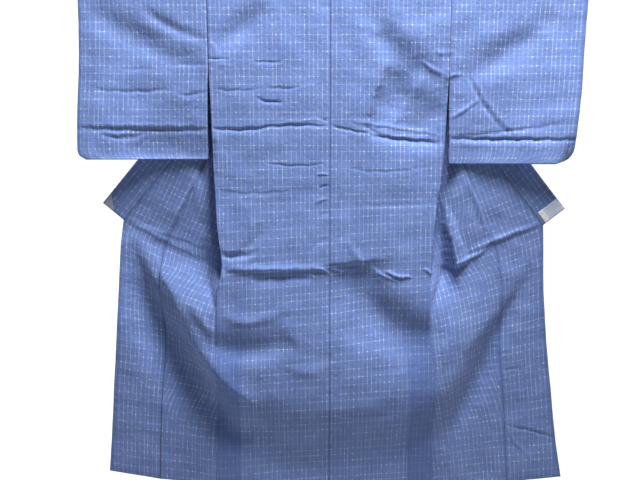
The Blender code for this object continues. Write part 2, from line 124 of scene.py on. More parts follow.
# %% Helpers for the studio
def stage_plane(name, corners, material):
    """A flat backdrop from its four corners, marked as not part of the object."""
    mesh = bpy.data.meshes.new(name)
    mesh.from_pydata(corners, [], [(0, 1, 2, 3)])
    mesh.materials.append(material)
    plane = bpy.data.objects.new(name, mesh)
    bpy.context.scene.collection.objects.link(plane)
    plane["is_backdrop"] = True
    print("backdrop:", name)
    return plane


def area_light(name, place, aim, size, power, colour="#FFFFFF"):
    """A soft square lamp at a place, turned towards a point: its tilt is the angle that the way to
    the point makes with straight down, and its heading is that way's compass direction."""
    lamp = bpy.data.lights.new(name, "AREA")
    lamp.size = size
    lamp.energy = power
    lamp.color = linear(colour)[:3]
    light = bpy.data.objects.new(name, lamp)
    light.location = place
    way = np.array(aim) - np.array(place)
    tilt = math.atan2(np.hypot(way[0], way[1]), -way[2])
    heading = math.atan2(way[0], -way[1]) + math.pi
    light.rotation_euler = (tilt, 0, heading)
    bpy.context.scene.collection.objects.link(light)
    print("lamp:", name, "of", power, "watts")
    return light


# %% [markdown]
# ## The white wall
# The garment hangs close to a white wall that is so bright that it has no tone left. A painted wall
# under a lamp would go grey towards its edges, so this one glows a little by itself. Only its front
# can be seen: the side that a face turns away from is clear, so that the garment can be looked at
# from behind as well.

# %% Wall
WALL_Y = 0.13
FLOOR_Z = -1.95
WALL_TOP = 4
HALF_ROOM = 6

wall_material = bpy.data.materials.new("white_painted_wall")
wall_material.use_nodes = True
wall_tree = wall_material.node_tree
wall_tree.nodes.remove(wall_tree.nodes["Principled BSDF"])
wall_glow = add_node(wall_tree, "Emission", None, {"Color": linear("#FFFFFF"), "Strength": 1.15})
wall_clear = add_node(wall_tree, "BsdfTransparent")
wall_side = add_node(wall_tree, "NewGeometry")
wall_mix = add_node(wall_tree, "MixShader", None, {0: wall_side.outputs["Backfacing"]})
wall_tree.links.new(wall_glow.outputs[0], wall_mix.inputs[1])
wall_tree.links.new(wall_clear.outputs[0], wall_mix.inputs[2])
wall_tree.links.new(wall_mix.outputs[0], wall_tree.nodes["Material Output"].inputs["Surface"])
wall_corners = [
    (-HALF_ROOM, WALL_Y, FLOOR_Z),
    (HALF_ROOM, WALL_Y, FLOOR_Z),
    (HALF_ROOM, WALL_Y, WALL_TOP),
    (-HALF_ROOM, WALL_Y, WALL_TOP),
]
stage_plane("wall", wall_corners, wall_material)

# %% [markdown]
# ## The pale floor
# The floor lies well below the hem. Its grey decides how much light comes back up into the dark
# folds, so it is a little darker than paper.

# %% Floor
floor_material, floor_tree, floor_shader = new_material("pale_floor")
floor_shader.inputs["Base Color"].default_value = linear("#CAC8C4")
floor_shader.inputs["Roughness"].default_value = 0.8
floor_corners = [
    (-HALF_ROOM, -HALF_ROOM, FLOOR_Z),
    (HALF_ROOM, -HALF_ROOM, FLOOR_Z),
    (HALF_ROOM, HALF_ROOM, FLOOR_Z),
    (-HALF_ROOM, HALF_ROOM, FLOOR_Z),
]
stage_plane("floor", floor_corners, floor_material)

# %% [markdown]
# ## The lamps
# The folds read so well because the light grazes them: it comes from high above, close to the
# cloth. Where the cloth slants back on its way down it loses that light, and where it comes forward
# it catches it. A second, weaker lamp stands behind the garment for the hidden side, and the room
# itself gives only a faint fill.

# %% Lamps and the room's own light
area_light("key_light", (0.36, -0.58, 1.48), (0.0, 0.0, -0.4), 0.7, 104)
area_light("rear_light", (0.4, 2.2, 0.6), (0.0, 0.0, -0.6), 1.5, 40)

world = bpy.data.worlds.new("studio")
world.use_nodes = True
world.node_tree.nodes["Background"].inputs["Color"].default_value = linear("#F4F6FA")
world.node_tree.nodes["Background"].inputs["Strength"].default_value = 0.070
bpy.context.scene.world = world

# %% [markdown]
# ## The garment's sizes
# A kimono is cut from straight lengths of narrow cloth, so a few widths and heights describe it.
# They are the solid model's own, apart from a few that were eased to match how the cloth takes the
# light: the hang, the fold's gap and the slit beside the right sleeve by millimetres, and the depth
# and the crease of the opened fronts by centimetres. Distances across are counted outwards from the
# centre-back seam, and heights from the rod.

# %% Cloth, rod and neck
CLOTH = 0.0008
COLLAR_GAP = 0.0012
ROD_RADIUS = 0.011
HANG_RADIUS = 0.01232
NECK_HALF_WIDTH = 0.088
NECK_DEPTH = 0.022
# Seams are closed here, apart from a hair's breadth that keeps the pieces' edges from crossing
SEAM_GAP = 0.00006
HEM_Z = -1.395
MIRROR = {"left": -1, "right": 1}
print("the cloth hangs", round(1000 * (HANG_RADIUS - ROD_RADIUS), 1), "mm clear of the rod's surface")

# %% [markdown]
# ## Sizes of the fronts and the collar
# Each front is folded behind the back along a slanting line. Most values here are distances down
# the cloth at which something starts or ends: the side seam, the overlap panel, the collar, or the
# crease at the collar's end.

# %% Fronts, collar and sleeves
COLLAR_AT_NECK = 0.055
COLLAR_AT_END = 0.071
COLLAR_END = 0.77
FOLD_RADIUS = 0.0045
FOLD_NORMAL = np.array([0.973, 0.230])
BEHIND_BACK = 0.0070
AT_SIDE_SEAM = 0.0014
# The front's inner layer leaves the rod's plane and follows the back panel from here to here
LEAVES_ROD = 0.66
FOLLOWS_BACK = 0.86
SIDE_SEAM_STARTS = 0.34
SIDE_SEAM_CLOSED = 0.44
SIDE_SEAM_WIDTH = 0.06
COMES_FORWARD = 0.06
# The overlap panel's free edge, in widths of the front's outer part counted from the fold
EDGE_SHARE = 1.8
FLAP_TURN = 0.16
EVEN_UNTIL = 0.06
OKUMI_TOP = 0.23
CREASE_WIDTH = {"left": 0.17, "right": 0.28}
FRONT_LENGTH = 1.50
CUFF_OPENING = 0.23
SLEEVE_SEAMS = {"left": 0.232, "right": 0.275}
SLEEVE_CLOSES = 0.03
print("the collar ends", COLLAR_END, "m down a front that is", FRONT_LENGTH, "m long")

# %% [markdown]
# ## Table of the side edges
# The back panels should be straight strips, but the weight of the folded fronts draws their edges
# in and out by a few millimetres, and not alike on both sides.

# %% Side edges
SIDE_COLUMNS = ("z", "left", "right")
SIDE = [
    (0.000, 0.316, 0.31),
    (-0.235, 0.316, 0.31),
    (-0.28, 0.314, 0.309),
    (-0.46, 0.309, 0.301),
    (-0.516, 0.307, 0.296),
    (-0.64, 0.301, 0.281),
    (-0.745, 0.29, 0.275),
    (-0.83, 0.304, 0.269),
    (-0.95, 0.307, 0.274),
    (-1.090, 0.313, 0.288),
    (-1.210, 0.317, 0.287),
    (-1.395, 0.322, 0.293),
]
print("width of the back at the rod:", round(SIDE[0][1] + SIDE[0][2], 3), "m")

# %% [markdown]
# ## Table of the opened fronts
# Each row is one line across a front, at a distance down the cloth. Its columns say where the fold,
# the seam of the overlap panel and the free edge lie on the wall, across and in height.

# %% Opened fronts
FRONT_COLUMNS = ("down", "fold_x", "fold_z", "seam_x", "seam_z", "edge_x", "edge_z")
FRONTS = {
    "left": [
        (0.00, 0.088, 0.000, 0.088, 0.000, 0.088, 0.000),
        (0.12, 0.116, -0.12, 0.147, -0.105, 0.147, -0.105),
        (0.23, 0.142, -0.23, 0.201, -0.2, 0.204, -0.199),
        (0.5, 0.206, -0.5, 0.321, -0.442, 0.382, -0.412),
        (0.77, 0.25, -0.77, 0.446, -0.684, 0.564, -0.626),
        (0.8, 0.25, -0.79, 0.458, -0.712, 0.568, -0.655),
        (0.95, 0.266, -0.91, 0.467, -0.84, 0.58, -0.8),
        (1.10, 0.272, -1.030, 0.464, -0.98, 0.591, -0.95),
        (1.25, 0.28, -1.160, 0.472, -1.120, 0.605, -1.100),
        (1.40, 0.286, -1.285, 0.481, -1.265, 0.619, -1.250),
        (1.50, 0.289, -1.392, 0.487, -1.374, 0.63, -1.348),
    ],
    "right": [
        (0.00, 0.088, 0.000, 0.088, 0.000, 0.088, 0.000),
        (0.12, 0.116, -0.122, 0.15, -0.105, 0.15, -0.105),
        (0.23, 0.142, -0.235, 0.207, -0.202, 0.21, -0.201),
        (0.5, 0.206, -0.51, 0.345, -0.449, 0.405, -0.421),
        (0.77, 0.236, -0.785, 0.447, -0.69, 0.578, -0.638),
        (0.8, 0.234, -0.8, 0.455, -0.715, 0.58, -0.668),
        (0.95, 0.236, -0.915, 0.473, -0.845, 0.587, -0.805),
        (1.10, 0.246, -1.035, 0.476, -0.985, 0.602, -0.955),
        (1.25, 0.262, -1.165, 0.49, -1.130, 0.623, -1.105),
        (1.40, 0.272, -1.290, 0.503, -1.270, 0.645, -1.255),
        (1.50, 0.28, -1.395, 0.512, -1.385, 0.667, -1.367),
    ],
}
print("width of the skirt at the hem:", round(FRONTS["left"][-1][5] + FRONTS["right"][-1][5], 3), "m")

# %% [markdown]
# ## Table of the sleeves
# A sleeve hangs between its inner and its outer edge. The last rows, close together, round its
# lower outer corner.

# %% Sleeve edges
SLEEVE_COLUMNS = ("z", "inner", "outer")
SLEEVES = {
    "left": [
        (0.000, 0.3165, 0.643),
        (-0.232, 0.3165, 0.648),
        (-0.26, 0.3185, 0.65),
        (-0.4, 0.322, 0.655),
        (-0.436, 0.3225, 0.655),
        (-0.45, 0.3228, 0.651),
        (-0.462, 0.323, 0.634),
    ],
    "right": [
        (0.000, 0.3105, 0.661),
        (-0.232, 0.3105, 0.652),
        (-0.275, 0.3115, 0.65),
        (-0.385, 0.314, 0.64),
        (-0.436, 0.315, 0.636),
        (-0.46, 0.315, 0.624),
        (-0.474, 0.315, 0.587),
    ],
}
print("from cuff to cuff:", round(SLEEVES["left"][0][2] + SLEEVES["right"][0][2], 3), "m")

# %% [markdown]
# ## Tables of the hang and the swag
# The first table says how far forward of the rod's plane the cloth hangs at each height. The second
# is the lowest line of the swag, the loose cloth that the folded collar ends hold up between them.
# Above that line the cloth bulges forward over a short rise, and the bulge fades out slowly further
# up.

# %% Hang and swag
HANG_COLUMNS = ("z", "forward")
HANG = [
    (0.00, HANG_RADIUS),
    (-0.1, 0.0122),
    (-0.34, 0.014),
    (-0.395, 0.015),
    (-0.55, 0.019),
    (-0.72, 0.027),
    (-0.775, 0.0255),
    (-0.9, 0.028),
    (-1.10, 0.03),
    (-1.395, 0.022),
]
SWAG_COLUMNS = ("x", "z")
SWAG = [
    (-0.6, -0.56),
    (-0.56, -0.66),
    (-0.46, -0.92),
    (-0.35, -1.09),
    (-0.25, -1.23),
    (0.00, -1.30),
    (0.19, -1.28),
    (0.33, -1.21),
    (0.41, -1.06),
    (0.475, -0.92),
    (0.565, -0.72),
    (0.62, -0.56),
]
SWAG_FORWARD = 0.030
SWAG_RISE = 0.11
SWAG_FADE = 0.55
# On the right the swag's rise is this much taller; it changes over 20 cm left of the centre
TALLER_RIGHT = 0.6
RISE_CHANGES_AT = -0.35
RISE_CHANGES_OVER = 0.20
# Beside the back panels and below the sleeves' seams the fronts keep only a part of the hang and the
# swag
OUTSIDE_FROM = 0.28
OUTSIDE_OVER = 0.18
OUTSIDE_BELOW = 0.48
OUTSIDE_DEEPENS = 0.12
HANG_LOST = 0.72
SWAG_LOST = {"left": 0.35, "right": 0.50}
print("the swag's lowest point is", min(row[1] for row in SWAG), "m below the rod")

# %% [markdown]
# ## Table of the fronts' depth
# Above the crease at the collar's end an opened front doesn't hang with the skirt. The columns say
# how far it lies from the rod's plane near its fold and at its free edge. Minus is towards the
# wall.

# %% Depth of the opened fronts
FRONT_DEPTH_COLUMNS = ("down", "inner", "outer")
FRONT_DEPTH = {
    "left": [
        (0.00, -0.024, -0.026),
        (0.42, -0.02, -0.026),
        (0.51, 0.004, -0.004),
        (0.77, -0.014, -0.018),
    ],
    "right": [
        (0.00, -0.024, -0.026),
        (0.42, -0.02, -0.026),
        (0.51, 0.01, 0.006),
        (0.77, 0.008, 0.004),
    ],
}
print("depth at the left collar end:", FRONT_DEPTH["left"][-1][1:])

# %% [markdown]
# ## Table of the neck
# The collar runs over the rod beside the neck and round its back. Each row is a place on its seam
# and the way in which it stands up from there, for the right half; the left half is its mirror
# image.

# %% Neck
NECK_COLUMNS = ("x", "y", "z", "dx", "dy", "dz")
NECK = [
    (0.0864, 0.013, 0.0000, 0.1, 0.8, 0.6),
    (0.0864, 0.0094, 0.0094, 0.05, 0.45, 0.9),
    (0.0864, 0.0000, 0.0132, 0.00, 0.1, 1.00),
    (0.0864, -0.0094, 0.0094, 0.00, -0.15, 1.00),
    (0.0864, -0.013, 0.001, -0.02, -0.3, 0.95),
    (0.076, -0.013, -0.0098, -0.02, -0.3, 0.95),
    (0.045, -0.0126, -0.0178, -0.02, -0.3, 0.95),
    (0.0000, -0.0126, -0.0208, 0.00, -0.3, 0.95),
]
print("stations round half of the neck:", len(NECK), "with", ", ".join(NECK_COLUMNS))

# %% [markdown]
# ## Curves from the tables
# Cloth has no corners between two measured rows, so a table is read as a smooth curve. This one
# never swings past its rows, which a plain spline does.

# %% Smooth curves
def column(table, columns, name):
    """One named column of a table, as an array."""
    return np.array([row[columns.index(name)] for row in table], float)


def along(table, columns, key, name, at):
    """A table's column as a smooth function of its key column. Between two rows it is a cubic that
    has a chosen slope at each: the harmonic mean of the slopes on both sides, or level where those
    differ in sign."""
    keys = column(table, columns, key)
    values = column(table, columns, name)
    order = np.argsort(keys)
    keys, values = keys[order], values[order]
    steps = np.diff(keys)
    slopes = np.diff(values) / steps
    tangents = np.zeros_like(values)
    same_way = slopes[1:] * slopes[:-1] > 0
    mean = 2 * slopes[1:] * slopes[:-1] / np.where(same_way, slopes[1:] + slopes[:-1], 1)
    tangents[1:-1] = np.where(same_way, mean, 0)
    tangents[0], tangents[-1] = slopes[0], slopes[-1]
    at = np.clip(np.asarray(at, float), keys[0], keys[-1])
    i = np.clip(np.searchsorted(keys, at) - 1, 0, len(steps) - 1)
    h = steps[i]
    t = (at - keys[i]) / h
    return (
        values[i] * (1 + 2 * t) * (1 - t) ** 2
        + tangents[i] * h * t * (1 - t) ** 2
        + values[i + 1] * t * t * (3 - 2 * t)
        - tangents[i + 1] * h * t * t * (1 - t)
    )


def ease(t):
    """0 below 0, 1 above 1, and a smooth step between."""
    t = np.clip(t, 0, 1)
    return t * t * (3 - 2 * t)


def denser_ends(count, pull):
    """Numbers from 0 to 1 that lie closer together at both ends: a straight count less a share of one
    sine wave."""
    t = np.linspace(0, 1, count)
    return t - pull * np.sin(2 * math.pi * t) / (2 * math.pi)


hang_halfway = float(along(HANG, HANG_COLUMNS, "z", "forward", -0.5))
print("the hang half a metre down:", round(hang_halfway, 4), "m")

# %% [markdown]
# ## The back's outline
# With the curves, the back panel's two edges are one line each: the side edge from its table, and
# the centre seam that opens into the neck at the top.

# %% Edges of a back panel
def side_edge(side, z):
    """Distance of a back panel's side edge from the centre."""
    return along(SIDE, SIDE_COLUMNS, "z", side, z)


def neckline(z):
    """Inner edge of a back panel: the centre seam, then a quarter of an ellipse round the neck."""
    depth = np.clip(-z / NECK_DEPTH, 0, 1)
    return np.where(z < -NECK_DEPTH, 0, NECK_HALF_WIDTH * np.sqrt(1 - depth**2)) + SEAM_GAP / 2


print("side edges one metre down:", [round(float(side_edge(side, -1.0)), 3) for side in MIRROR])

# %% [markdown]
# ## Folds and creases
# The large swag and a few soft folds come from the cloth's own weight. The sharp creases come from
# the drawer: the kimono was folded small, and two creases run right across it. Each fold is an arc
# with a soft cross section that can be steeper on one side, because a stored crease has a sharp
# lower edge. They are placed one by one, uneven as in the photo, and a cloth simulation would lose
# just these. The first rows are soft folds that run down from the shoulders and the collar ends.

# %% Table of folds
FOLD_COLUMNS = ("x0", "z0", "x1", "z1", "x2", "z2", "above", "below", "height")
FOLDS = {
    # Soft folds from the cloth's own weight
    "left_hollow": (-0.34, -0.936, -0.232, -1.007, -0.108, -0.936, 0.035, 0.035, -0.008),
    "shoulder_left": (-0.605, -0.069, -0.497, -0.186, -0.325, -0.225, 0.034, 0.034, -0.008),
    "shoulder_left_body": (-0.172, -0.064, -0.229, -0.137, -0.298, -0.176, 0.03, 0.03, -0.008),
    "shoulder_right": (0.579, -0.088, 0.459, -0.21, 0.312, -0.255, 0.034, 0.034, -0.008),
    "shoulder_right_body": (0.105, -0.069, 0.165, -0.215, 0.294, -0.255, 0.03, 0.03, -0.007),
    "right_back_hollow": (0.126, -0.137, 0.158, -0.235, 0.194, -0.348, 0.035, 0.035, -0.006),
    "skirt_left": (-0.45, -0.965, -0.345, -1.138, -0.223, -1.286, 0.03, 0.03, -0.005),
    "skirt_right": (0.467, -0.979, 0.413, -1.138, 0.283, -1.256, 0.03, 0.03, -0.005),
}
print("each fold has", ", ".join(FOLD_COLUMNS))

# %% [markdown]
# ## The crease across the shoulders
# The upper storage crease crosses both sleeves and the back, about a hand below the ends of the
# sleeves' seams. It isn't one line: each panel was creased by itself, so its parts differ in
# height, slope and sharpness, and most have a thin ridge beside the groove.

# %% Upper storage crease
FOLDS.update({
    "left_sleeve_crease": (-0.661, -0.382, -0.475, -0.384, -0.315, -0.383, 0.004, 0.008, -0.005),
    "left_sleeve_crease_over": (-0.66, -0.371, -0.5, -0.374, -0.314, -0.373, 0.004, 0.004, 0.0015),
    "left_sleeve_crease_dip": (-0.604, -0.394, -0.556, -0.417, -0.474, -0.388, 0.004, 0.006, -0.003),
    "left_back_crease": (-0.309, -0.38, -0.235, -0.388, -0.156, -0.377, 0.003, 0.007, -0.005),
    "left_back_crease_thin": (-0.187, -0.378, -0.087, -0.369, -0.003, -0.376, 0.003, 0.005, -0.003),
    "left_back_crease_over": (-0.156, -0.371, -0.077, -0.364, -0.003, -0.353, 0.003, 0.003, 0.001),
    "right_back_crease_start": (0.003, -0.373, 0.048, -0.388, 0.109, -0.394, 0.003, 0.004, -0.0025),
    "right_back_crease_over": (0.057, -0.363, 0.132, -0.371, 0.302, -0.399, 0.006, 0.004, 0.0022),
    "right_back_crease": (0.099, -0.396, 0.185, -0.412, 0.303, -0.417, 0.003, 0.009, -0.006),
    "right_sleeve_crease": (0.313, -0.408, 0.404, -0.411, 0.652, -0.412, 0.004, 0.004, -0.006),
    "right_sleeve_crease_over": (0.313, -0.424, 0.464, -0.427, 0.64, -0.43, 0.005, 0.008, 0.0015),
    "right_sleeve_crease_slant": (0.313, -0.404, 0.474, -0.391, 0.613, -0.368, 0.004, 0.006, -0.0024),
})
print("folds with the upper crease:", len(FOLDS))

# %% [markdown]
# ## The crease half way down
# The lower storage crease crosses the middle of the back. On the left it stands as one long ridge
# with a hollow under it, and on the right it breaks up into short pieces beside a deep hollow.

# %% Lower storage crease
FOLDS.update({
    "left_waist_ridge": (-0.279, -0.754, -0.157, -0.755, 0.004, -0.751, 0.01, 0.006, 0.007),
    "left_waist_hollow": (-0.215, -0.784, -0.111, -0.769, -0.045, -0.782, 0.006, 0.012, -0.006),
    "left_waist_curl": (-0.05, -0.749, -0.006, -0.753, 0.001, -0.773, 0.004, 0.004, 0.0035),
    "left_waist_dent": (-0.299, -0.708, -0.249, -0.738, -0.187, -0.702, 0.009, 0.007, -0.007),
    "left_waist_pull": (-0.18, -0.627, -0.181, -0.691, -0.289, -0.735, 0.014, 0.012, -0.005),
    "left_waist_pinch": (-0.306, -0.746, -0.266, -0.765, -0.313, -0.817, 0.005, 0.005, 0.0035),
    "centre_waist_wrinkle": (0.001, -0.757, 0.044, -0.764, 0.076, -0.754, 0.003, 0.004, 0.0026),
    "right_waist_ridge": (0.152, -0.762, 0.176, -0.777, 0.222, -0.776, 0.004, 0.003, 0.006),
    "right_waist_ridge_2": (0.114, -0.746, 0.141, -0.78, 0.19, -0.787, 0.004, 0.004, 0.003),
    "right_side_wedge": (0.283, -0.542, 0.305, -0.667, 0.316, -0.771, 0.01, 0.01, -0.005),
    "right_waist_pinch": (0.254, -0.751, 0.29, -0.787, 0.291, -0.746, 0.004, 0.004, 0.004),
})
print("folds with the lower crease:", len(FOLDS))

# %% [markdown]
# ## The swag
# The two collar ends hold the skirt up at its sides, and what is loose between them hangs in a
# wide arc. Its edge catches the light, the slope outside it lies in shade, and a few soft folds
# follow the same arc inside it.

# %% Swag's folds
FOLDS.update({
    "swag_edge_left": (-0.556, -0.635, -0.467, -0.724, -0.389, -0.901, 0.026, 0.012, 0.007),
    "swag_edge_left_mid": (-0.417, -0.84, -0.345, -1.042, -0.187, -1.137, 0.026, 0.012, 0.009),
    "swag_edge_left_low": (-0.253, -1.081, -0.126, -1.300, 0.064, -1.243, 0.03, 0.018, 0.004),
    "swag_edge_right_low": (0.002, -1.220, 0.328, -1.181, 0.407, -0.966, 0.034, 0.022, 0.004),
    "swag_edge_right": (0.364, -0.986, 0.512, -0.859, 0.569, -0.654, 0.026, 0.016, 0.007),
    "swag_shade_right": (0.315, -1.273, 0.464, -0.957, 0.544, -0.735, 0.03, 0.034, -0.012),
    "swag_inner_left": (-0.379, -0.84, -0.329, -0.921, -0.31, -0.924, 0.014, 0.014, 0.006),
    "swag_inner_bulge": (-0.287, -0.873, -0.236, -0.926, -0.107, -0.856, 0.014, 0.012, 0.005),
    "swag_inner_left_low": (-0.316, -0.952, -0.233, -1.020, -0.092, -0.952, 0.036, 0.024, -0.009),
    "swag_inner_light": (-0.125, -1.015, -0.073, -1.049, 0.002, -1.015, 0.012, 0.012, 0.003),
})
print("folds with the swag:", len(FOLDS))

# %% [markdown]
# ## Small wrinkles
# Cotton that was worn and stored keeps short wrinkles that follow no rule. Most are a few
# millimetres wide and one to four high, so they show as thin lines of light and shade.

# %% Small wrinkles
FOLDS.update({
    "left_shoulder_fold": (-0.49, -0.068, -0.409, -0.141, -0.319, -0.155, 0.012, 0.012, -0.004),
    "left_sleeve_wrinkle": (-0.613, -0.282, -0.519, -0.293, -0.412, -0.279, 0.003, 0.005, -0.0026),
    "left_sleeve_wrinkle_2": (-0.402, -0.292, -0.361, -0.301, -0.32, -0.284, 0.003, 0.005, -0.0024),
    "left_sleeve_wrinkle_3": (-0.544, -0.229, -0.5, -0.231, -0.457, -0.227, 0.003, 0.005, -0.0014),
    "left_sleeve_wrinkle_4": (-0.41, -0.22, -0.363, -0.215, -0.321, -0.22, 0.003, 0.004, -0.0016),
    "left_back_wrinkle": (-0.32, -0.205, -0.298, -0.203, -0.261, -0.207, 0.003, 0.003, -0.0018),
    "left_back_wrinkle_2": (-0.2, -0.21, -0.169, -0.215, -0.118, -0.21, 0.003, 0.004, -0.0018),
    "left_back_wrinkle_3": (-0.175, -0.274, -0.121, -0.284, -0.077, -0.274, 0.003, 0.004, -0.0018),
    "left_back_wrinkle_4": (-0.309, -0.279, -0.248, -0.29, -0.175, -0.279, 0.003, 0.004, -0.0014),
    "left_back_wrinkle_5": (-0.191, -0.302, -0.166, -0.316, -0.119, -0.315, 0.003, 0.003, -0.004),
    "left_back_wrinkle_6": (-0.168, -0.471, -0.109, -0.485, -0.013, -0.474, 0.003, 0.004, -0.0016),
    "left_back_wrinkle_7": (-0.295, -0.542, -0.235, -0.563, -0.079, -0.542, 0.004, 0.005, -0.0012),
    "left_back_wrinkle_8": (-0.031, -0.355, -0.014, -0.355, -0.003, -0.365, 0.003, 0.003, -0.002),
    "right_back_wrinkle": (0.045, -0.482, 0.131, -0.509, 0.273, -0.479, 0.004, 0.005, -0.0012),
    "right_back_wrinkle_2": (0.059, -0.581, 0.16, -0.589, 0.281, -0.576, 0.004, 0.006, -0.0012),
    "right_back_wrinkle_3": (0.001, -0.664, 0.025, -0.675, 0.059, -0.664, 0.004, 0.004, -0.002),
    "right_sleeve_diagonal": (0.361, -0.239, 0.39, -0.333, 0.493, -0.414, 0.003, 0.004, -0.003),
    "right_sleeve_diagonal_over": (0.369, -0.234, 0.402, -0.329, 0.503, -0.406, 0.004, 0.003, 0.002),
    "right_sleeve_light": (0.311, -0.358, 0.347, -0.339, 0.392, -0.305, 0.005, 0.004, 0.003),
    "right_armhole_wrinkle": (0.243, -0.212, 0.258, -0.223, 0.305, -0.249, 0.003, 0.003, 0.004),
    "right_armhole_wrinkle_2": (0.273, -0.182, 0.281, -0.195, 0.329, -0.187, 0.003, 0.003, 0.003),
    "right_armhole_wrinkle_3": (0.303, -0.254, 0.318, -0.239, 0.344, -0.244, 0.003, 0.003, 0.003),
    "left_sleeve_diagonal": (-0.471, -0.388, -0.493, -0.415, -0.526, -0.448, 0.003, 0.003, -0.003),
    "left_sleeve_diagonal_2": (-0.568, -0.401, -0.531, -0.424, -0.476, -0.386, 0.003, 0.004, -0.002),
    "left_armhole_pull": (-0.298, -0.225, -0.285, -0.215, -0.241, -0.225, 0.003, 0.003, 0.0014),
    "low_right_wrinkle": (-0.004, -1.151, 0.095, -1.169, 0.211, -1.151, 0.004, 0.006, -0.0024),
    "low_right_wrinkle_2": (0.106, -1.029, 0.177, -1.032, 0.263, -1.012, 0.004, 0.006, -0.002),
    "low_right_wrinkle_3": (0.485, -1.049, 0.51, -1.042, 0.546, -1.041, 0.002, 0.003, -0.002),
    "corner_crease": (0.498, -1.211, 0.573, -1.221, 0.643, -1.249, 0.003, 0.003, -0.0032),
    "corner_crease_2": (0.501, -1.217, 0.537, -1.275, 0.597, -1.328, 0.003, 0.003, 0.002),
})
print("folds with the small wrinkles:", len(FOLDS))

# %% [markdown]
# ## Puckers beside the centre seam
# A seam draws the cloth in a little as it is sewn, and short puckers stand beside it at uneven
# distances.

# %% Puckers
FOLDS.update({
    "centre_pucker_1": (-0.037, -0.505, -0.017, -0.496, -0.002, -0.502, 0.003, 0.003, 0.0024),
    "centre_pucker_2": (-0.031, -0.537, -0.014, -0.529, -0.002, -0.531, 0.003, 0.003, -0.0024),
    "centre_pucker_3": (-0.039, -0.576, -0.021, -0.564, -0.002, -0.568, 0.003, 0.003, 0.0026),
    "centre_pucker_4": (-0.031, -0.611, -0.014, -0.603, -0.002, -0.605, 0.003, 0.003, -0.0022),
    "centre_pucker_5": (-0.026, -0.078, -0.015, -0.068, 0.002, -0.078, 0.003, 0.003, -0.003),
    "centre_pucker_6": (-0.058, -0.708, -0.033, -0.683, -0.002, -0.67, 0.003, 0.003, -0.002),
    "centre_pucker_7": (-0.021, -0.924, 0.003, -0.927, 0.021, -0.941, 0.003, 0.003, -0.002),
    "centre_pucker_8": (-0.026, -0.986, -0.007, -0.975, 0.023, -0.986, 0.003, 0.003, 0.0018),
    "centre_pucker_9": (-0.023, -1.102, -0.001, -1.089, 0.021, -1.105, 0.003, 0.003, -0.0018),
})
print("folds with the puckers:", len(FOLDS))

# %% [markdown]
# ## Broad hollows
# The largest differences of light and shade aren't creases. They are broad hollows and slopes, up
# to a few centimetres deep, where the hung cloth falls back out of the light. Two small folds
# that lie on them come in the same table.

# %% Broad hollows and slopes
FOLDS.update({
    "right_waist_fall": (0.071, -0.735, 0.083, -0.934, 0.314, -0.958, 0.06, 0.084, -0.036),
    "right_waist_ridge_3": (0.043, -0.675, 0.079, -0.74, 0.147, -0.784, 0.008, 0.01, 0.003),
    "right_back_hollow_above_crease": (0.109, -0.33, 0.205, -0.358, 0.312, -0.376, 0.095, 0.08, -0.02),
    "right_back_patch": (0.136, -0.254, 0.175, -0.273, 0.214, -0.297, 0.062, 0.095, -0.007),
    "right_back_crease_spot": (0.088, -0.376, 0.112, -0.386, 0.146, -0.406, 0.004, 0.005, -0.0025),
    "swag_shade_left": (-0.542, -0.691, -0.5, -0.953, -0.252, -1.279, 0.058, 0.066, -0.033),
    "swag_shade_low": (-0.263, -1.273, -0.141, -1.346, 0.045, -1.334, 0.036, 0.036, -0.006),
    "left_sleeve_foot": (-0.622, -0.443, -0.48, -0.448, -0.301, -0.443, 0.055, 0.03, -0.015),
    "right_back_slope": (0.017, -0.735, 0.154, -0.746, 0.323, -0.735, 0.3, 0.06, -0.008),
})
print("folds on the back and the sleeves:", len(FOLDS))

# %% [markdown]
# ## How the folds add up
# Each fold is a bell-shaped bump or hollow that follows its arc. A real fold never runs quite true,
# so the points are first shifted by a slow ripple of a millimetre or two. The folds are then added
# up, so a ridge that runs into a hollow fades in it, as it does in cloth.

# %% Sum of the folds
FOLD_STEPS = 28
# A fold is worked out only where it can be seen, which is up to this many widths from its arc
FOLD_REACH = 2.5
# The power that keeps a fold near its full height until close to its ends
END_POWER = 0.6


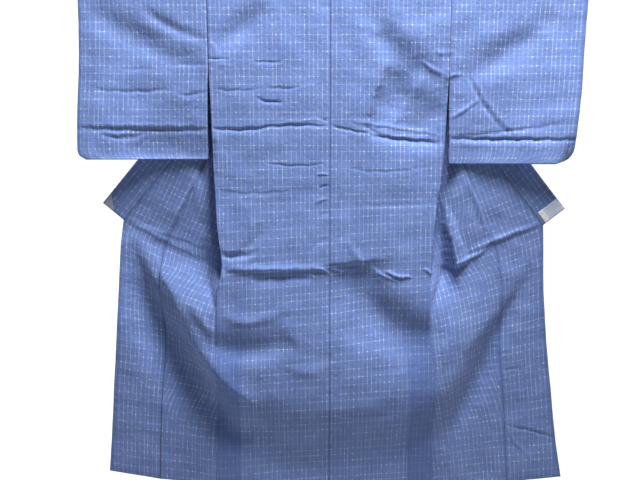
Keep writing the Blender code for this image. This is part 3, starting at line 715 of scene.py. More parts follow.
def fold_heights(x, z, table):
    """Sum of the folds. Each is an arc bent by its middle point. Its height falls off as a bell with
    the distance from the arc, with its own width above and below it, and fades to nothing at both
    ends."""
    total = np.zeros(x.shape)
    # No fold runs quite true: its line wanders by a millimetre or two
    x, z = (x + 0.0012 * np.sin(95 * z + 40 * x) + 0.0006 * np.sin(310 * z - 90 * x),
            z + 0.0011 * np.sin(120 * x - 30 * z) + 0.0007 * np.sin(290 * x + 160 * z))
    for x0, z0, x1, z1, x2, z2, above, below, height in table.values():
        t = np.linspace(0, 1, FOLD_STEPS + 1)
        arc_x = x0 * (1 - t) ** 2 + 2 * x1 * t * (1 - t) + x2 * t * t
        arc_z = z0 * (1 - t) ** 2 + 2 * z1 * t * (1 - t) + z2 * t * t
        reach = FOLD_REACH * max(above, below)
        near = (x > arc_x.min() - reach) & (x < arc_x.max() + reach)
        near &= (z > arc_z.min() - reach) & (z < arc_z.max() + reach)
        if not near.any():
            continue
        away_x = x[near][:, None] - arc_x
        away_z = z[near][:, None] - arc_z
        k = np.argmin(away_x**2 + away_z**2, 1)[:, None]
        run_x, run_z = np.gradient(arc_x)[k[:, 0]], np.gradient(arc_z)[k[:, 0]]
        step = np.hypot(run_x, run_z)
        away_x = np.take_along_axis(away_x, k, 1)[:, 0]
        away_z = np.take_along_axis(away_z, k, 1)[:, 0]
        # Counted upwards from the arc, whichever way it runs
        off = (away_z * run_x - away_x * run_z) / step * np.sign(run_x + 1e-9)
        at = (k[:, 0] + (away_x * run_x + away_z * run_z) / step**2) / FOLD_STEPS
        fade = np.sin(math.pi * np.clip(at, 0, 1)) ** END_POWER
        total[near] += height * fade * np.exp(-((off / np.where(off > 0, above, below)) ** 2))
    return total


ridge = fold_heights(np.array([-0.157]), np.array([-0.754]), FOLDS)
print("the waist ridge stands", round(1000 * float(ridge[0]), 1), "mm out")

# %% [markdown]
# ## The unrest between the folds
# Even where no fold can be named, hung cotton isn't flat. A sum of a few crossing waves with a
# fixed seed gives that, and it is the same each time.

# %% Slight unrest
def unevenness(x, z, height):
    """The cloth's slight unrest: a sum of crossing waves 4 to 14 cm long, from a fixed seed, of a
    given height. Each wave has its own length, direction and phase, is bent a little, and is lower
    the shorter it is."""
    draw = np.random.default_rng(11)
    total = np.zeros(np.broadcast(x, z).shape)
    for _ in range(16):
        length = draw.uniform(0.04, 0.14)
        turn = draw.normal(math.pi / 2, 0.7)
        phase = draw.uniform(0, 2 * math.pi)
        bend = 0.02 * np.sin(9 * x + 7 * z + phase)
        wave = (x + bend) * math.cos(turn) + (z + bend) * math.sin(turn)
        total = total + np.sin(2 * math.pi * wave / length + phase) * (length / 0.14)
    return total * height / 4


print("unrest at the middle of the back:", round(float(unevenness(0.0, -0.7, 0.0012)), 5), "m")

# %% [markdown]
# ## Folds of the hidden side
# The side towards the wall can't be seen in the photograph. It was stored and hung with the rest,
# so it gets folds of the same kinds: creases from storage, pulls from the armholes and small
# wrinkles.

# %% Table of the hidden side's folds
REAR_FOLDS = {
    "left_sleeve_crease": (-0.655, -0.372, -0.49, -0.38, -0.322, -0.378, 0.01, 0.016, 0.005),
    "left_sleeve_pull": (-0.62, -0.075, -0.505, -0.205, -0.335, -0.245, 0.03, 0.034, 0.008),
    "left_sleeve_wrinkle": (-0.6, -0.29, -0.52, -0.296, -0.43, -0.284, 0.008, 0.012, 0.003),
    "left_sleeve_wrinkle_low": (-0.52, -0.425, -0.455, -0.418, -0.38, -0.43, 0.007, 0.01, 0.0024),
    "right_sleeve_crease": (0.322, -0.384, 0.48, -0.379, 0.64, -0.388, 0.01, 0.016, 0.005),
    "right_sleeve_pull": (0.335, -0.215, 0.48, -0.19, 0.615, -0.06, 0.034, 0.03, 0.008),
    "right_sleeve_wrinkle": (0.36, -0.305, 0.425, -0.296, 0.52, -0.31, 0.008, 0.012, 0.003),
    "right_sleeve_slant": (0.45, -0.25, 0.5, -0.31, 0.52, -0.37, 0.008, 0.01, 0.003),
    "left_front_crease": (-0.3, -0.386, -0.24, -0.38, -0.17, -0.378, 0.009, 0.014, 0.004),
    "left_front_pull": (-0.29, -0.18, -0.235, -0.27, -0.15, -0.32, 0.024, 0.03, 0.006),
    "left_front_wrinkle": (-0.305, -0.56, -0.26, -0.568, -0.22, -0.555, 0.008, 0.01, 0.0026),
    "left_waist_crease": (-0.3, -0.77, -0.28, -0.762, -0.255, -0.766, 0.008, 0.012, 0.003),
    "right_front_crease": (0.175, -0.376, 0.24, -0.384, 0.3, -0.38, 0.009, 0.014, 0.004),
    "right_front_pull": (0.15, -0.3, 0.23, -0.26, 0.295, -0.15, 0.03, 0.024, 0.006),
    "right_front_wrinkle": (0.21, -0.52, 0.25, -0.512, 0.295, -0.524, 0.008, 0.01, 0.0026),
    "right_front_slant": (0.215, -0.64, 0.25, -0.69, 0.265, -0.76, 0.012, 0.016, 0.004),
}

print("folds on the hidden side:", len(REAR_FOLDS))

# %% [markdown]
# ## How far forward the cloth hangs
# All of the above comes together in one function of a place on the back. It gives the distance from
# the rod's plane, and every piece below reads it, so that neighbours keep to each other without a
# gap.

# %% The visible surface
SEAM_VALLEY = 0.0016
SEAM_VALLEY_WIDTH = 0.0032
# Below the short sleeve seams the valley ends
FAR_AWAY = 9.0
UNREST = 0.0012


def seam_valleys(x, z):
    """The seams pull the cloth in: a narrow valley along the centre seam and along both sleeve seams."""
    distance = np.abs(x)
    for side in ("left", "right"):
        mirror = MIRROR[side]
        line = np.where(z > -SLEEVE_SEAMS[side] - 0.02, side_edge(side, z), FAR_AWAY)
        distance = np.minimum(distance, np.abs(x * mirror - line))
    return -SEAM_VALLEY * np.exp(-((distance / SEAM_VALLEY_WIDTH) ** 2))


def forward(x, z):
    """How far the visible cloth hangs forward of the rod's plane: the straight hang, plus the swag,
    plus the folds, the unrest and the valleys of the seams, which start a hand below the rod."""
    x, z = np.broadcast_arrays(np.asarray(x, float), np.asarray(z, float))
    height = z - along(SWAG, SWAG_COLUMNS, "x", "z", x)
    rise = SWAG_RISE * (1 + TALLER_RIGHT * ease((x - RISE_CHANGES_AT) / RISE_CHANGES_OVER))
    swag = ease(height / rise) * (1 - ease((height - rise) / SWAG_FADE))
    # The fronts beside the back panels hang nearer to the wall
    outside = ease((np.abs(x) - OUTSIDE_FROM) / OUTSIDE_OVER)
    outside = outside * ease((-z - OUTSIDE_BELOW) / OUTSIDE_DEEPENS)
    hang = along(HANG, HANG_COLUMNS, "z", "forward", z) * (1 - HANG_LOST * outside)
    swag_lost = np.where(x < 0, SWAG_LOST["left"], SWAG_LOST["right"])
    hang = hang + SWAG_FORWARD * swag * ease(-z / 0.5) * (1 - swag_lost * outside)
    small = fold_heights(x, z, FOLDS) + unevenness(x, z, UNREST) + seam_valleys(x, z)
    return hang + small * ease((-z - 0.03) / 0.08)


def rear(z):
    """y of the rear layer of the shoulders and sleeves: straight down from the rod, drawn in a
    little."""
    return HANG_RADIUS - 0.002 * ease(-z / 0.3)


at_centre = forward(np.array([0.0]), np.array([-1.1]))
print("the swag at the centre:", round(float(at_centre[0]), 4), "m in front of the rod's plane")

# %% [markdown]
# ## A cloth from rows and columns of points
# Every piece is one grid. Besides its place, each point knows where it lies on the flat cloth, in
# metres, which becomes the UV map that the woven check follows. Two more numbers go with it: the
# distance to the nearest sewn edge, along which a line of shade is painted, and how much cloth lies
# behind it, which darkens the cloth and also carries painted shade beside the overlap panels' seams.
# Solidify gives the sheet its wall.

# %% Cloth maker
def cloth_piece(name, points, flat, sewn, behind, material, thickness=CLOTH, closed=False):
    """One cloth from a grid of points. flat is its UV map in metres of cloth, sewn and behind are the
    two values of each point, and closed joins the last row to the first."""
    rows, columns = points.shape[:2]
    index = np.arange(rows * columns).reshape(rows, columns)
    own = np.stack([index[:-1, :-1], index[:-1, 1:], index[1:, 1:], index[1:, :-1]], -1).reshape(-1, 4)
    faces = own
    if closed:
        faces = np.where(own >= (rows - 1) * columns, own - (rows - 1) * columns, own)
        points, sewn, behind = points[:-1], sewn[:-1], behind[:-1]
    mesh = bpy.data.meshes.new(name)
    mesh.from_pydata(points.reshape(-1, 3), [], faces)
    mesh.polygons.foreach_set("use_smooth", np.ones(len(faces), bool))
    uv = mesh.uv_layers.new(name="cloth")
    uv.data.foreach_set("uv", flat.reshape(-1, 2)[own.reshape(-1)].astype(np.float32).reshape(-1))
    for label, values in (("sewn", sewn), ("behind", behind)):
        mark = mesh.attributes.new(label, "FLOAT", "POINT")
        whole = np.broadcast_to(values, points.shape[:2])
        mark.data.foreach_set("value", whole.astype(np.float32).reshape(-1))
    mesh.materials.append(material)
    mesh.update()
    piece = bpy.data.objects.new(name, mesh)
    bpy.context.scene.collection.objects.link(piece)
    wall = piece.modifiers.new("wall", "SOLIDIFY")
    wall.thickness = thickness
    wall.offset = 0
    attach(piece, "root")
    print(name, "points:", points.shape[0] * points.shape[1])
    return piece


print("the cloth's wall is", 1000 * CLOTH, "mm")

# %% [markdown]
# ## The woven check
# The cloth is kasuri, a cotton whose yarns are resist-dyed before weaving. Here fine pale lines run
# every 12 mm along the cloth and every 22 mm across it. The dye creeps under the binding, so no
# line is even: it fades, comes back, and leaves small white flecks where two undyed stretches
# cross. The indigo ground is a plain weave of slubby yarns. All of it reads the cloth's own UV map,
# so it turns with every fold.

# %% One set of lines
WARP_SPACING = 0.0120
WEFT_SPACING = 0.0217
# A line's soft edge ends this far from its middle. Real ones are finer, and would vanish between the
# pixels.
LINE_WIDTH = 0.0019
# Each line may stand anywhere in this middle part of its row
PLACE_FROM = 0.35
PLACE_RANGE = 0.30


def check_lines(tree, across, down, spacing, runs, slubs, least_run):
    """One set of lines: the distance across is cut into numbered rows, and each row's line is where
    the rest is near to its own random place. Two noises along the line make it fade over long runs
    and thicken in short slubs. runs and slubs are how many of them fit in a metre."""
    scaled = add_node(tree, "Math", {"operation": "MULTIPLY"}, {0: across, 1: 1 / spacing}).outputs[0]
    number = add_node(tree, "Math", {"operation": "FLOOR"}, {0: scaled}).outputs[0]
    inside = add_node(tree, "Math", {"operation": "SUBTRACT"}, {0: scaled, 1: number}).outputs[0]
    lot = add_node(tree, "TexWhiteNoise", {"noise_dimensions": "1D"}, {"W": number}).outputs["Value"]
    place = add_node(tree, "Math", {"operation": "MULTIPLY_ADD"}, {
        0: lot, 1: PLACE_RANGE, 2: PLACE_FROM}).outputs[0]
    off = add_node(tree, "Math", {"operation": "SUBTRACT"}, {0: inside, 1: place}).outputs[0]
    away = add_node(tree, "Math", {"operation": "ABSOLUTE"}, {0: off}).outputs[0]
    on_line = add_node(tree, "MapRange", {"interpolation_type": "SMOOTHSTEP"}, {
        "Value": away, "From Min": 0.25 * LINE_WIDTH / spacing, "From Max": LINE_WIDTH / spacing,
        "To Min": 1.0, "To Max": 0.0}).outputs[0]
    long_runs = (runs, 7.31, 0.38, 0.64, least_run, 1.0)
    short_slubs = (slubs, 3.77, 0.35, 0.72, 0.55, 1.25)
    masks = []
    for scale, shift, low, high, least, most in (long_runs, short_slubs):
        row = add_node(tree, "Math", {"operation": "MULTIPLY"}, {0: number, 1: shift}).outputs[0]
        way = add_node(tree, "Math", {"operation": "MULTIPLY"}, {0: down, 1: scale}).outputs[0]
        spot = add_node(tree, "CombineXYZ", None, {"X": row, "Y": way}).outputs[0]
        noise = add_node(tree, "TexNoise", {"noise_dimensions": "2D"}, {
            "Vector": spot, "Scale": 1.0, "Detail": 2.0, "Roughness": 0.6}).outputs[0]
        mask = add_node(tree, "MapRange", None, {
            "Value": noise, "From Min": low, "From Max": high, "To Min": least, "To Max": most})
        masks.append(mask.outputs[0])
    run = add_node(tree, "Math", {"operation": "MULTIPLY"}, {0: masks[0], 1: masks[1]}).outputs[0]
    drawn = add_node(tree, "Math", {"operation": "MULTIPLY"}, {0: on_line, 1: run}).outputs[0]
    return drawn, on_line, number


print("lines in a metre:", round(1 / WARP_SPACING), "across and", round(1 / WEFT_SPACING), "along")

# %% [markdown]
# ## The cotton
# The material starts from two blues that the yarns mix, lays the pale lines over them, then the
# flecks, then the darker places where cloth lies over cloth, with painted shade of the groove beside
# the overlap panels' seams, and the painted shadow line of a seam. Cotton is matte. Its loose fibre
# ends give it only a faint sheen when the light grazes it.

# %% Kasuri cotton
def kasuri_cotton(name, deep, ground, line, fleck):
    """Resist-dyed plain weave: two blues in the ground, pale lines both ways and flecks where they
    cross. To the eye it is soft and matte, a little uneven in every yarn."""
    material, tree, shader = new_material(name)
    uv = add_node(tree, "UVMap", {"uv_map": "cloth"}).outputs[0]
    parts = add_node(tree, "SeparateXYZ", None, {0: uv})
    u, v = parts.outputs[0], parts.outputs[1]
    warp, on_warp, warp_number = check_lines(tree, u, v, WARP_SPACING, 22, 190, 0.3)
    weft, on_weft, weft_number = check_lines(tree, v, u, WEFT_SPACING, 30, 210, 0.25)
    # Yarns are about 0.4 mm thick. That is too fine for the picture, so they are drawn 1.4 mm thick,
    # with slubs 8 mm long.
    yarns = []
    for scale_u, scale_v in ((700, 130), (110, 800)):
        stretch = add_node(tree, "Mapping", None, {"Vector": uv, "Scale": (scale_u, scale_v, 1)})
        yarn = add_node(tree, "TexNoise", {"noise_dimensions": "2D"}, {
            "Vector": stretch.outputs[0], "Scale": 1.0, "Detail": 2.0, "Roughness": 0.55})
        yarns.append(yarn.outputs[0])
    weave = add_node(tree, "Math", {"operation": "ADD"}, {0: yarns[0], 1: yarns[1]}).outputs[0]
    weave_tone = add_node(tree, "MapRange", None, {
        "Value": weave, "From Min": 0.72, "From Max": 1.28, "To Min": 0.0, "To Max": 1.0}).outputs[0]
    # The dye took unevenly, in clouds about 7 cm wide
    cloud = add_node(tree, "TexNoise", {"noise_dimensions": "2D"}, {
        "Vector": uv, "Scale": 14.0, "Detail": 3.0, "Roughness": 0.5}).outputs[0]
    cloud_tone = add_node(tree, "MapRange", None, {
        "Value": cloud, "From Min": 0.3, "From Max": 0.7, "To Min": 0.15, "To Max": 0.35}).outputs[0]
    both = add_node(tree, "Math", {"operation": "MULTIPLY_ADD"}, {
        0: weave_tone, 1: 0.55, 2: cloud_tone}).outputs[0]
    tone = add_node(tree, "Mix", {"data_type": "RGBA"}, {
        "Factor": both, 6: linear(deep), 7: linear(ground)}).outputs[2]
    weft_part = add_node(tree, "Math", {"operation": "MULTIPLY"}, {0: weft, 1: 0.34}).outputs[0]
    lines = add_node(tree, "Math", {"operation": "MULTIPLY_ADD", "use_clamp": True}, {
        0: warp, 1: 0.5, 2: weft_part}).outputs[0]
    lined = add_node(tree, "Mix", {"data_type": "RGBA"}, {
        "Factor": lines, 6: tone, 7: linear(line)}).outputs[2]
    # Only some of the crossings are white on both yarns
    cell = add_node(tree, "CombineXYZ", None, {"X": warp_number, "Y": weft_number}).outputs[0]
    lot = add_node(tree, "TexWhiteNoise", {"noise_dimensions": "2D"}, {"Vector": cell}).outputs["Value"]
    chosen = add_node(tree, "MapRange", None, {
        "Value": lot, "From Min": 0.35, "From Max": 0.95, "To Min": 0.0, "To Max": 1.0}).outputs[0]
    cross = add_node(tree, "Math", {"operation": "MULTIPLY"}, {0: on_warp, 1: on_weft}).outputs[0]
    spots = add_node(tree, "Math", {"operation": "MULTIPLY"}, {0: cross, 1: chosen}).outputs[0]
    flecked = add_node(tree, "Mix", {"data_type": "RGBA"}, {
        "Factor": spots, 6: lined, 7: linear(fleck)}).outputs[2]
    # More cloth behind, as in a hem or a seam allowance, lets less light through. Beside the overlap
    # panels' seams the same darkening is also painted shade of the seam's groove
    layers = add_node(tree, "Attribute", {"attribute_name": "behind"}).outputs["Fac"]
    double_cloth_and_shade_share = add_node(tree, "Math", {"operation": "MULTIPLY"}, {0: layers, 1: 0.55}).outputs[0]
    doubled_and_shaded = add_node(tree, "Mix", {"data_type": "RGBA"}, {
        "Factor": double_cloth_and_shade_share, 6: flecked, 7: linear(deep)}).outputs[2]
    # A sewn edge is a thin dark line, because the two cloths turn away from the light into it
    edge = add_node(tree, "Attribute", {"attribute_name": "sewn"}).outputs["Fac"]
    crease = add_node(tree, "MapRange", None, {
        "Value": edge, "From Min": 0.0002, "From Max": 0.0026, "To Min": 0.5, "To Max": 0.0}).outputs[0]
    seamed = add_node(tree, "Mix", {"data_type": "RGBA"}, {
        "Factor": crease, 6: doubled_and_shaded, 7: linear("#2A3560")}).outputs[2]
    tree.links.new(seamed, shader.inputs["Base Color"])
    # Fine rumples about 13 mm wide carry the weave's own relief
    rumple = add_node(tree, "TexNoise", {"noise_dimensions": "2D"}, {
        "Vector": uv, "Scale": 75.0, "Detail": 3.0, "Roughness": 0.55}).outputs[0]
    weave_height = add_node(tree, "Math", {"operation": "MULTIPLY_ADD"}, {
        0: weave, 1: 0.12, 2: rumple}).outputs[0]
    bump = add_node(tree, "Bump", None, {"Height": weave_height, "Strength": 0.45, "Distance": 0.0022})
    tree.links.new(bump.outputs[0], shader.inputs["Normal"])
    shader.inputs["Roughness"].default_value = 0.85
    shader.inputs["Specular IOR Level"].default_value = 0.25
    shader.inputs["Sheen Weight"].default_value = 0.15
    shader.inputs["Sheen Roughness"].default_value = 0.6
    return material


indigo_kasuri = kasuri_cotton("indigo_kasuri_cotton", "#556FB2", "#809BDB", "#C2D5F8", "#F4F8FF")
print("made", indigo_kasuri.name)

# %% [markdown]
# ## The back panels and the folded fronts
# Each half of the body is one length of cloth. It rises from the hem at the back, passes over the
# rod, and comes down again as the front panel. The front lies behind the back panel, is folded
# along a slanting line from the neck, and opens outwards into view. One grid carries all of this:
# each row is a line across the cloth.

# %% Lines and depth of a front
FRONT_INNER = 20
FRONT_ROLL = 6
FRONT_OUTER = 49
BODY_COLUMNS = FRONT_INNER + 1 + FRONT_ROLL + FRONT_OUTER
BACK_ROWS = 318
TURN_ROWS = 13
TOP_ROWS = 12
FRONT_ROWS = 262
# The weft lines sag a little towards the left below the first crease
WEFT_SLOPE = 0.075
# The folded layers are pressed together from here down, over this length
PRESSED_FROM = 0.76
PRESSED_OVER = 0.16
LOOSENESS_LOST = 0.85


def front_lines(side, down):
    """The fold, the seam and the free edge of a front at distances down the cloth, as (x, z) outwards
    from the centre. The lines have a corner where the collar ends, so the rows above and below it
    make two curves."""
    upper = [row for row in FRONTS[side] if row[0] <= COLLAR_END]
    lower = [row for row in FRONTS[side] if row[0] >= COLLAR_END]

    def line(name):
        above = along(upper, FRONT_COLUMNS, "down", name, down)
        return np.where(down <= COLLAR_END, above, along(lower, FRONT_COLUMNS, "down", name, down))

    return [np.stack([line(name + "_x"), line(name + "_z")], -1) for name in ("fold", "seam", "edge")]


def tightness(down):
    """The share of their loose distance that the folded layers keep: all of it above the waist, where
    they hang apart, and little below it, where they are pressed flat."""
    return 1 - LOOSENESS_LOST * ease((down - PRESSED_FROM) / PRESSED_OVER)


def inner_depth(side, x, z, down):
    """y of the inner layer of a front: straight down behind the rod at first, with the hidden side's
    folds, and then a few millimetres behind the back panel."""
    behind_back = -forward(MIRROR[side] * x, z) + BEHIND_BACK * tightness(down)
    at_rear = rear(-down) + fold_heights(MIRROR[side] * x, z, REAR_FOLDS) * ease((down - 0.06) / 0.1)
    return at_rear + (behind_back - at_rear) * ease((down - LEAVES_ROD) / (FOLLOWS_BACK - LEAVES_ROD))


gap_at_hem = BEHIND_BACK * float(tightness(FRONT_LENGTH))
print("a front's fold lies", round(1000 * gap_at_hem, 1), "mm behind the back at the hem")

# %% [markdown]
# ## Folds of the opened fronts
# Above the crease at the collar's end the fronts have folds of their own: the pull towards the
# armhole, the shadowed pockets beside the back panels, and the lit edges where the collar ends turn
# the cloth.

# %% Table of the fronts' folds
FRONT_FOLDS = {
    "left_front_step": (-0.341, -0.484, -0.399, -0.575, -0.448, -0.67, 0.004, 0.009, 0.0035),
    "left_front_pull": (-0.37, -0.568, -0.351, -0.648, -0.309, -0.675, 0.014, 0.014, -0.002),
    "right_front_step": (0.366, -0.51, 0.399, -0.583, 0.439, -0.681, 0.004, 0.008, 0.004),
    "right_front_stripe": (0.318, -0.74, 0.342, -0.738, 0.377, -0.724, 0.18, 0.014, 0.012),
    "right_front_wedge": (0.275, -0.757, 0.301, -0.76, 0.343, -0.751, 0.18, 0.06, -0.036),
    "right_front_edge": (0.573, -0.635, 0.436, -0.68, 0.376, -0.716, 0.009, 0.004, 0.005),
    "right_front_edge_2": (0.434, -0.691, 0.378, -0.748, 0.297, -0.751, 0.006, 0.004, 0.006),
    "left_front_edge": (-0.553, -0.624, -0.478, -0.676, -0.306, -0.746, 0.008, 0.009, 0.0032),
    "left_front_edge_2": (-0.538, -0.643, -0.453, -0.651, -0.316, -0.713, 0.005, 0.006, 0.0014),
    "left_front_pocket": (-0.359, -0.735, -0.332, -0.74, -0.295, -0.746, 0.16, 0.02, -0.009),
}
print("folds on the opened fronts:", len(FRONT_FOLDS))

# %% [markdown]
# ## The opened layer
# Past its fold a front comes out from behind the back panel. It is a sheet that is turned over:
# near the rod it still stands on edge, and a hand lower it lies flat. From the collar's end down it
# joins the skirt.

# %% Opened layer
def opened_front(side, point, down, beyond):
    """Places of the opened layer: behind the back panel near the fold, and forward into view outside
    its edge. Above the crease at the collar's end it lies back, and below it hangs with the skirt.
    Near the rod each point is turned about the fold's line by a quarter turn, and the turn grows to a
    half turn further down."""
    mirror = MIRROR[side]
    fold = front_lines(side, down)[0][:, None]
    down = down[:, None]
    x, z = point[..., 0], point[..., 1]
    turned = math.pi / 2 * (1 + ease(down / FLAP_TURN))
    width = (point - fold) @ FOLD_NORMAL
    x = x - width * (1 + np.cos(turned)) * FOLD_NORMAL[0]
    z = z - width * (1 + np.cos(turned)) * FOLD_NORMAL[1]
    roll = FOLD_RADIUS * tightness(down)
    behind = inner_depth(side, x, z, down) + roll * (1 - np.cos(turned)) + width * np.sin(turned)
    out_of_back = ease((x - side_edge(side, z)) / (COMES_FORWARD * tightness(down)))
    inner = along(FRONT_DEPTH[side], FRONT_DEPTH_COLUMNS, "down", "inner", down)
    outer = along(FRONT_DEPTH[side], FRONT_DEPTH_COLUMNS, "down", "outer", down)
    upper = -(inner + (outer - inner) * ease(beyond / EDGE_SHARE))
    upper = upper - fold_heights(mirror * x, z, FRONT_FOLDS) - unevenness(mirror * x, z, UNREST)
    lower = -forward(mirror * x, z)
    in_view = upper + (lower - upper) * ease((down - COLLAR_END) / CREASE_WIDTH[side])
    y = behind + (in_view - behind) * out_of_back
    return np.stack([mirror * x, y, z], -1)


one_metre = np.array([1.0])
seam_point = front_lines("right", one_metre)[1][:, None]
place = opened_front("right", seam_point, one_metre, np.ones((1, 1)))[0, 0]
print("the right front's seam one metre down is at", [round(v, 3) for v in place.tolist()])

# %% [markdown]
# ## One front as a grid
# The front panel is one strip of cloth with a fold in it. Its rows run from the side seam inwards
# behind the back, round the fold as a half turn of small radius, and out again to the seam of the
# overlap panel. The first few rows under the rod are spread evenly, so that they meet the cloth
# that comes over the rod.

# %% Front grid
def front_grid(side, down):
    """Rows of the front panel: from the side edge inwards behind the back, round the fold, and out to
    the seam. Near the rod the rows are blended with a straight, evenly spaced line between their
    ends."""
    mirror = MIRROR[side]
    fold, seam, _ = front_lines(side, down)
    edge_x = side_edge(side, fold[:, 1])
    edge = np.stack([edge_x, np.where(down > SIDE_SEAM_STARTS, fold[:, 1], -down)], -1)
    rows = down[:, None]
    q = np.linspace(0, 1, FRONT_INNER + 1)[None, :, None]
    flat = edge[:, None] + (fold - edge)[:, None] * q
    x, z = flat[..., 0], flat[..., 1]
    depth = inner_depth(side, x, z, rows)
    at_seam = -forward(mirror * x, z) + AT_SIDE_SEAM
    drawn_in = np.minimum(SIDE_SEAM_WIDTH, 0.9 * (edge_x - fold[:, 0]))[:, None]
    sewn = ease((rows - SIDE_SEAM_STARTS) / (SIDE_SEAM_CLOSED - SIDE_SEAM_STARTS))
    sewn = sewn * (1 - ease((edge_x[:, None] - x) / drawn_in))
    layer = np.stack([mirror * x, depth + (at_seam - depth) * sewn, z], -1)
    # The fold is a half turn of small radius
    turned = math.pi / 2 * (1 + ease(rows / FLAP_TURN))
    angle = turned * np.linspace(0, 1, FRONT_ROLL + 1)[None, 1:]
    roll = FOLD_RADIUS * tightness(rows)
    bent_x = fold[:, :1] - roll * np.sin(angle)
    bent_z = fold[:, 1:] + 0 * angle
    depth = inner_depth(side, bent_x, bent_z, rows)
    bend = np.stack([mirror * bent_x, depth + roll * (1 - np.cos(angle)), bent_z], -1)
    q = (np.linspace(0, 1, FRONT_OUTER + 1) ** 0.9)[None, 1:, None]
    opened = opened_front(side, fold[:, None] + (seam - fold)[:, None] * q, down, q[..., 0] + 0 * rows)
    folded = np.concatenate([layer, bend, opened], 1)
    steps = np.linspace(0, 1, BODY_COLUMNS)[None, :, None]
    even = folded[:, :1] + (folded[:, -1:] - folded[:, :1]) * steps
    return even + (folded - even) * ease(rows / EVEN_UNTIL)[..., None]


print("points in a row across:", BODY_COLUMNS)

# %% [markdown]
# ## Rows where they are needed
# A storage crease is only a few millimetres high and would be lost between two rows, so the rows
# lie closer together there. The flat cloth's width is measured along each row, which the woven
# check needs.

# %% Heights of the rows
# Heights of the creases, and how far the closer rows reach from each
CREASE_HEIGHTS = [
    (-0.38, 0.03),
    (-0.765, 0.03),
    (-0.295, 0.025),
    (-0.207, 0.012),
    (-0.478, 0.012),
    (-0.52, 0.06),
]


def crowded(start, end, count):
    """Heights from start to end that lie up to three times closer together around the creases."""
    fine = np.linspace(start, end, 4000)
    weight = 1 + sum(2.0 * np.exp(-(((fine - z) / width) ** 2)) for z, width in CREASE_HEIGHTS)
    share = np.concatenate([[0], np.cumsum((weight[1:] + weight[:-1]) / 2)])
    return np.interp(np.linspace(0, share[-1], count), share, fine)


def run_across(points):
    """Distance along each row from its first point, which is the flat cloth's width there."""
    steps = np.linalg.norm(np.diff(points, axis=1), axis=2)
    return np.concatenate([np.zeros((len(points), 1)), np.cumsum(steps, 1)], 1)


closest = float(np.diff(crowded(HEM_Z, -NECK_DEPTH, BACK_ROWS)).min())
print("the closest rows are", round(1000 * closest, 1), "mm apart")

# %% [markdown]
# ## Rows of the back panel
# A body length is made in three parts: its back, the half turn over the rod, and its front. Each part
# gives its points, their places on the flat cloth and the two marks. On the back panel the cloth is
# double beside the side seam, where the allowance and the front's fold lie behind it.

# %% Back rows
# Width of the side seam's allowance with the front's fold behind it, which shows below the waist
ALLOWANCE = 0.072
NECK_ROWS = np.array([1.0, 0.985, 0.94, 0.87, 0.77, 0.65, 0.5, 0.33, 0.17])
# Below the waist these lengths are added to the distance from the side seams: their lines are fainter
WAIST_Z = -0.75
SEAM_SHIFT = {"left": 0.0022, "right": 0.0014}
# The hems are turned in, and their edges get only a faint line in the same way
HEM_SHIFT = 0.002


def back_rows(side, across):
    """Rows of the back panel, from the hem up to the neck. A flat place is the distance across the
    cloth and the distance along it from the rod, both in metres."""
    mirror = MIRROR[side]
    below_neck = crowded(HEM_Z, -NECK_DEPTH - 0.004, BACK_ROWS)
    z = np.concatenate([below_neck, -NECK_DEPTH * NECK_ROWS])[:, None]
    edge = side_edge(side, z)
    x = edge + (neckline(z) - edge) * across
    points = np.stack([mirror * x, -forward(mirror * x, z), z + 0 * x], -1)
    flat = np.stack([mirror * x, -z + WEFT_SLOPE * mirror * x * ease((-z - 0.4) / 0.4)], -1)
    side_seam = edge - x + SEAM_SHIFT[side] * ease((-z + WAIST_Z) / 0.1)
    sewn = np.minimum(x - neckline(z), side_seam)
    sewn = np.minimum(sewn, z - HEM_Z + HEM_SHIFT)
    behind = ease((x - (edge - ALLOWANCE)) / 0.004) * ease((-z + WAIST_Z) / 0.35)
    return points, flat, sewn, behind


print("rows of the back panel:", BACK_ROWS + len(NECK_ROWS))

# %% [markdown]
# ## Rows over the rod and down the front
# The shoulder has no seam: the cloth simply runs over the rod. On the front the cloth is double
# beside the overlap panel's seam, and it is darkened there: partly for the double cloth, partly as
# painted shade of the seam's groove.

# %% Rows over the rod and front rows
# How dark the overlap panels' seams are made: partly the double cloth of the allowance, partly
# painted shade of the seam's groove
ALLOWANCE_AND_SHADE_SHARE = 0.7


def rows_over_rod(side, across):
    """Rows of the shoulder: a half circle round the rod, from its front over its top to its rear."""
    mirror = MIRROR[side]
    turn = np.linspace(0, math.pi, TURN_ROWS)[:, None]
    top_edge = side_edge(side, 0.0)
    x = top_edge + (NECK_HALF_WIDTH + SEAM_GAP / 2 - top_edge) * across + 0 * turn
    y = -HANG_RADIUS * np.cos(turn) + 0 * x
    z = HANG_RADIUS * np.sin(turn) + 0 * x
    flat = np.stack([mirror * x, -HANG_RADIUS * turn + 0 * x], -1)
    return np.stack([mirror * x, y, z], -1), flat, x - NECK_HALF_WIDTH, 0 * x


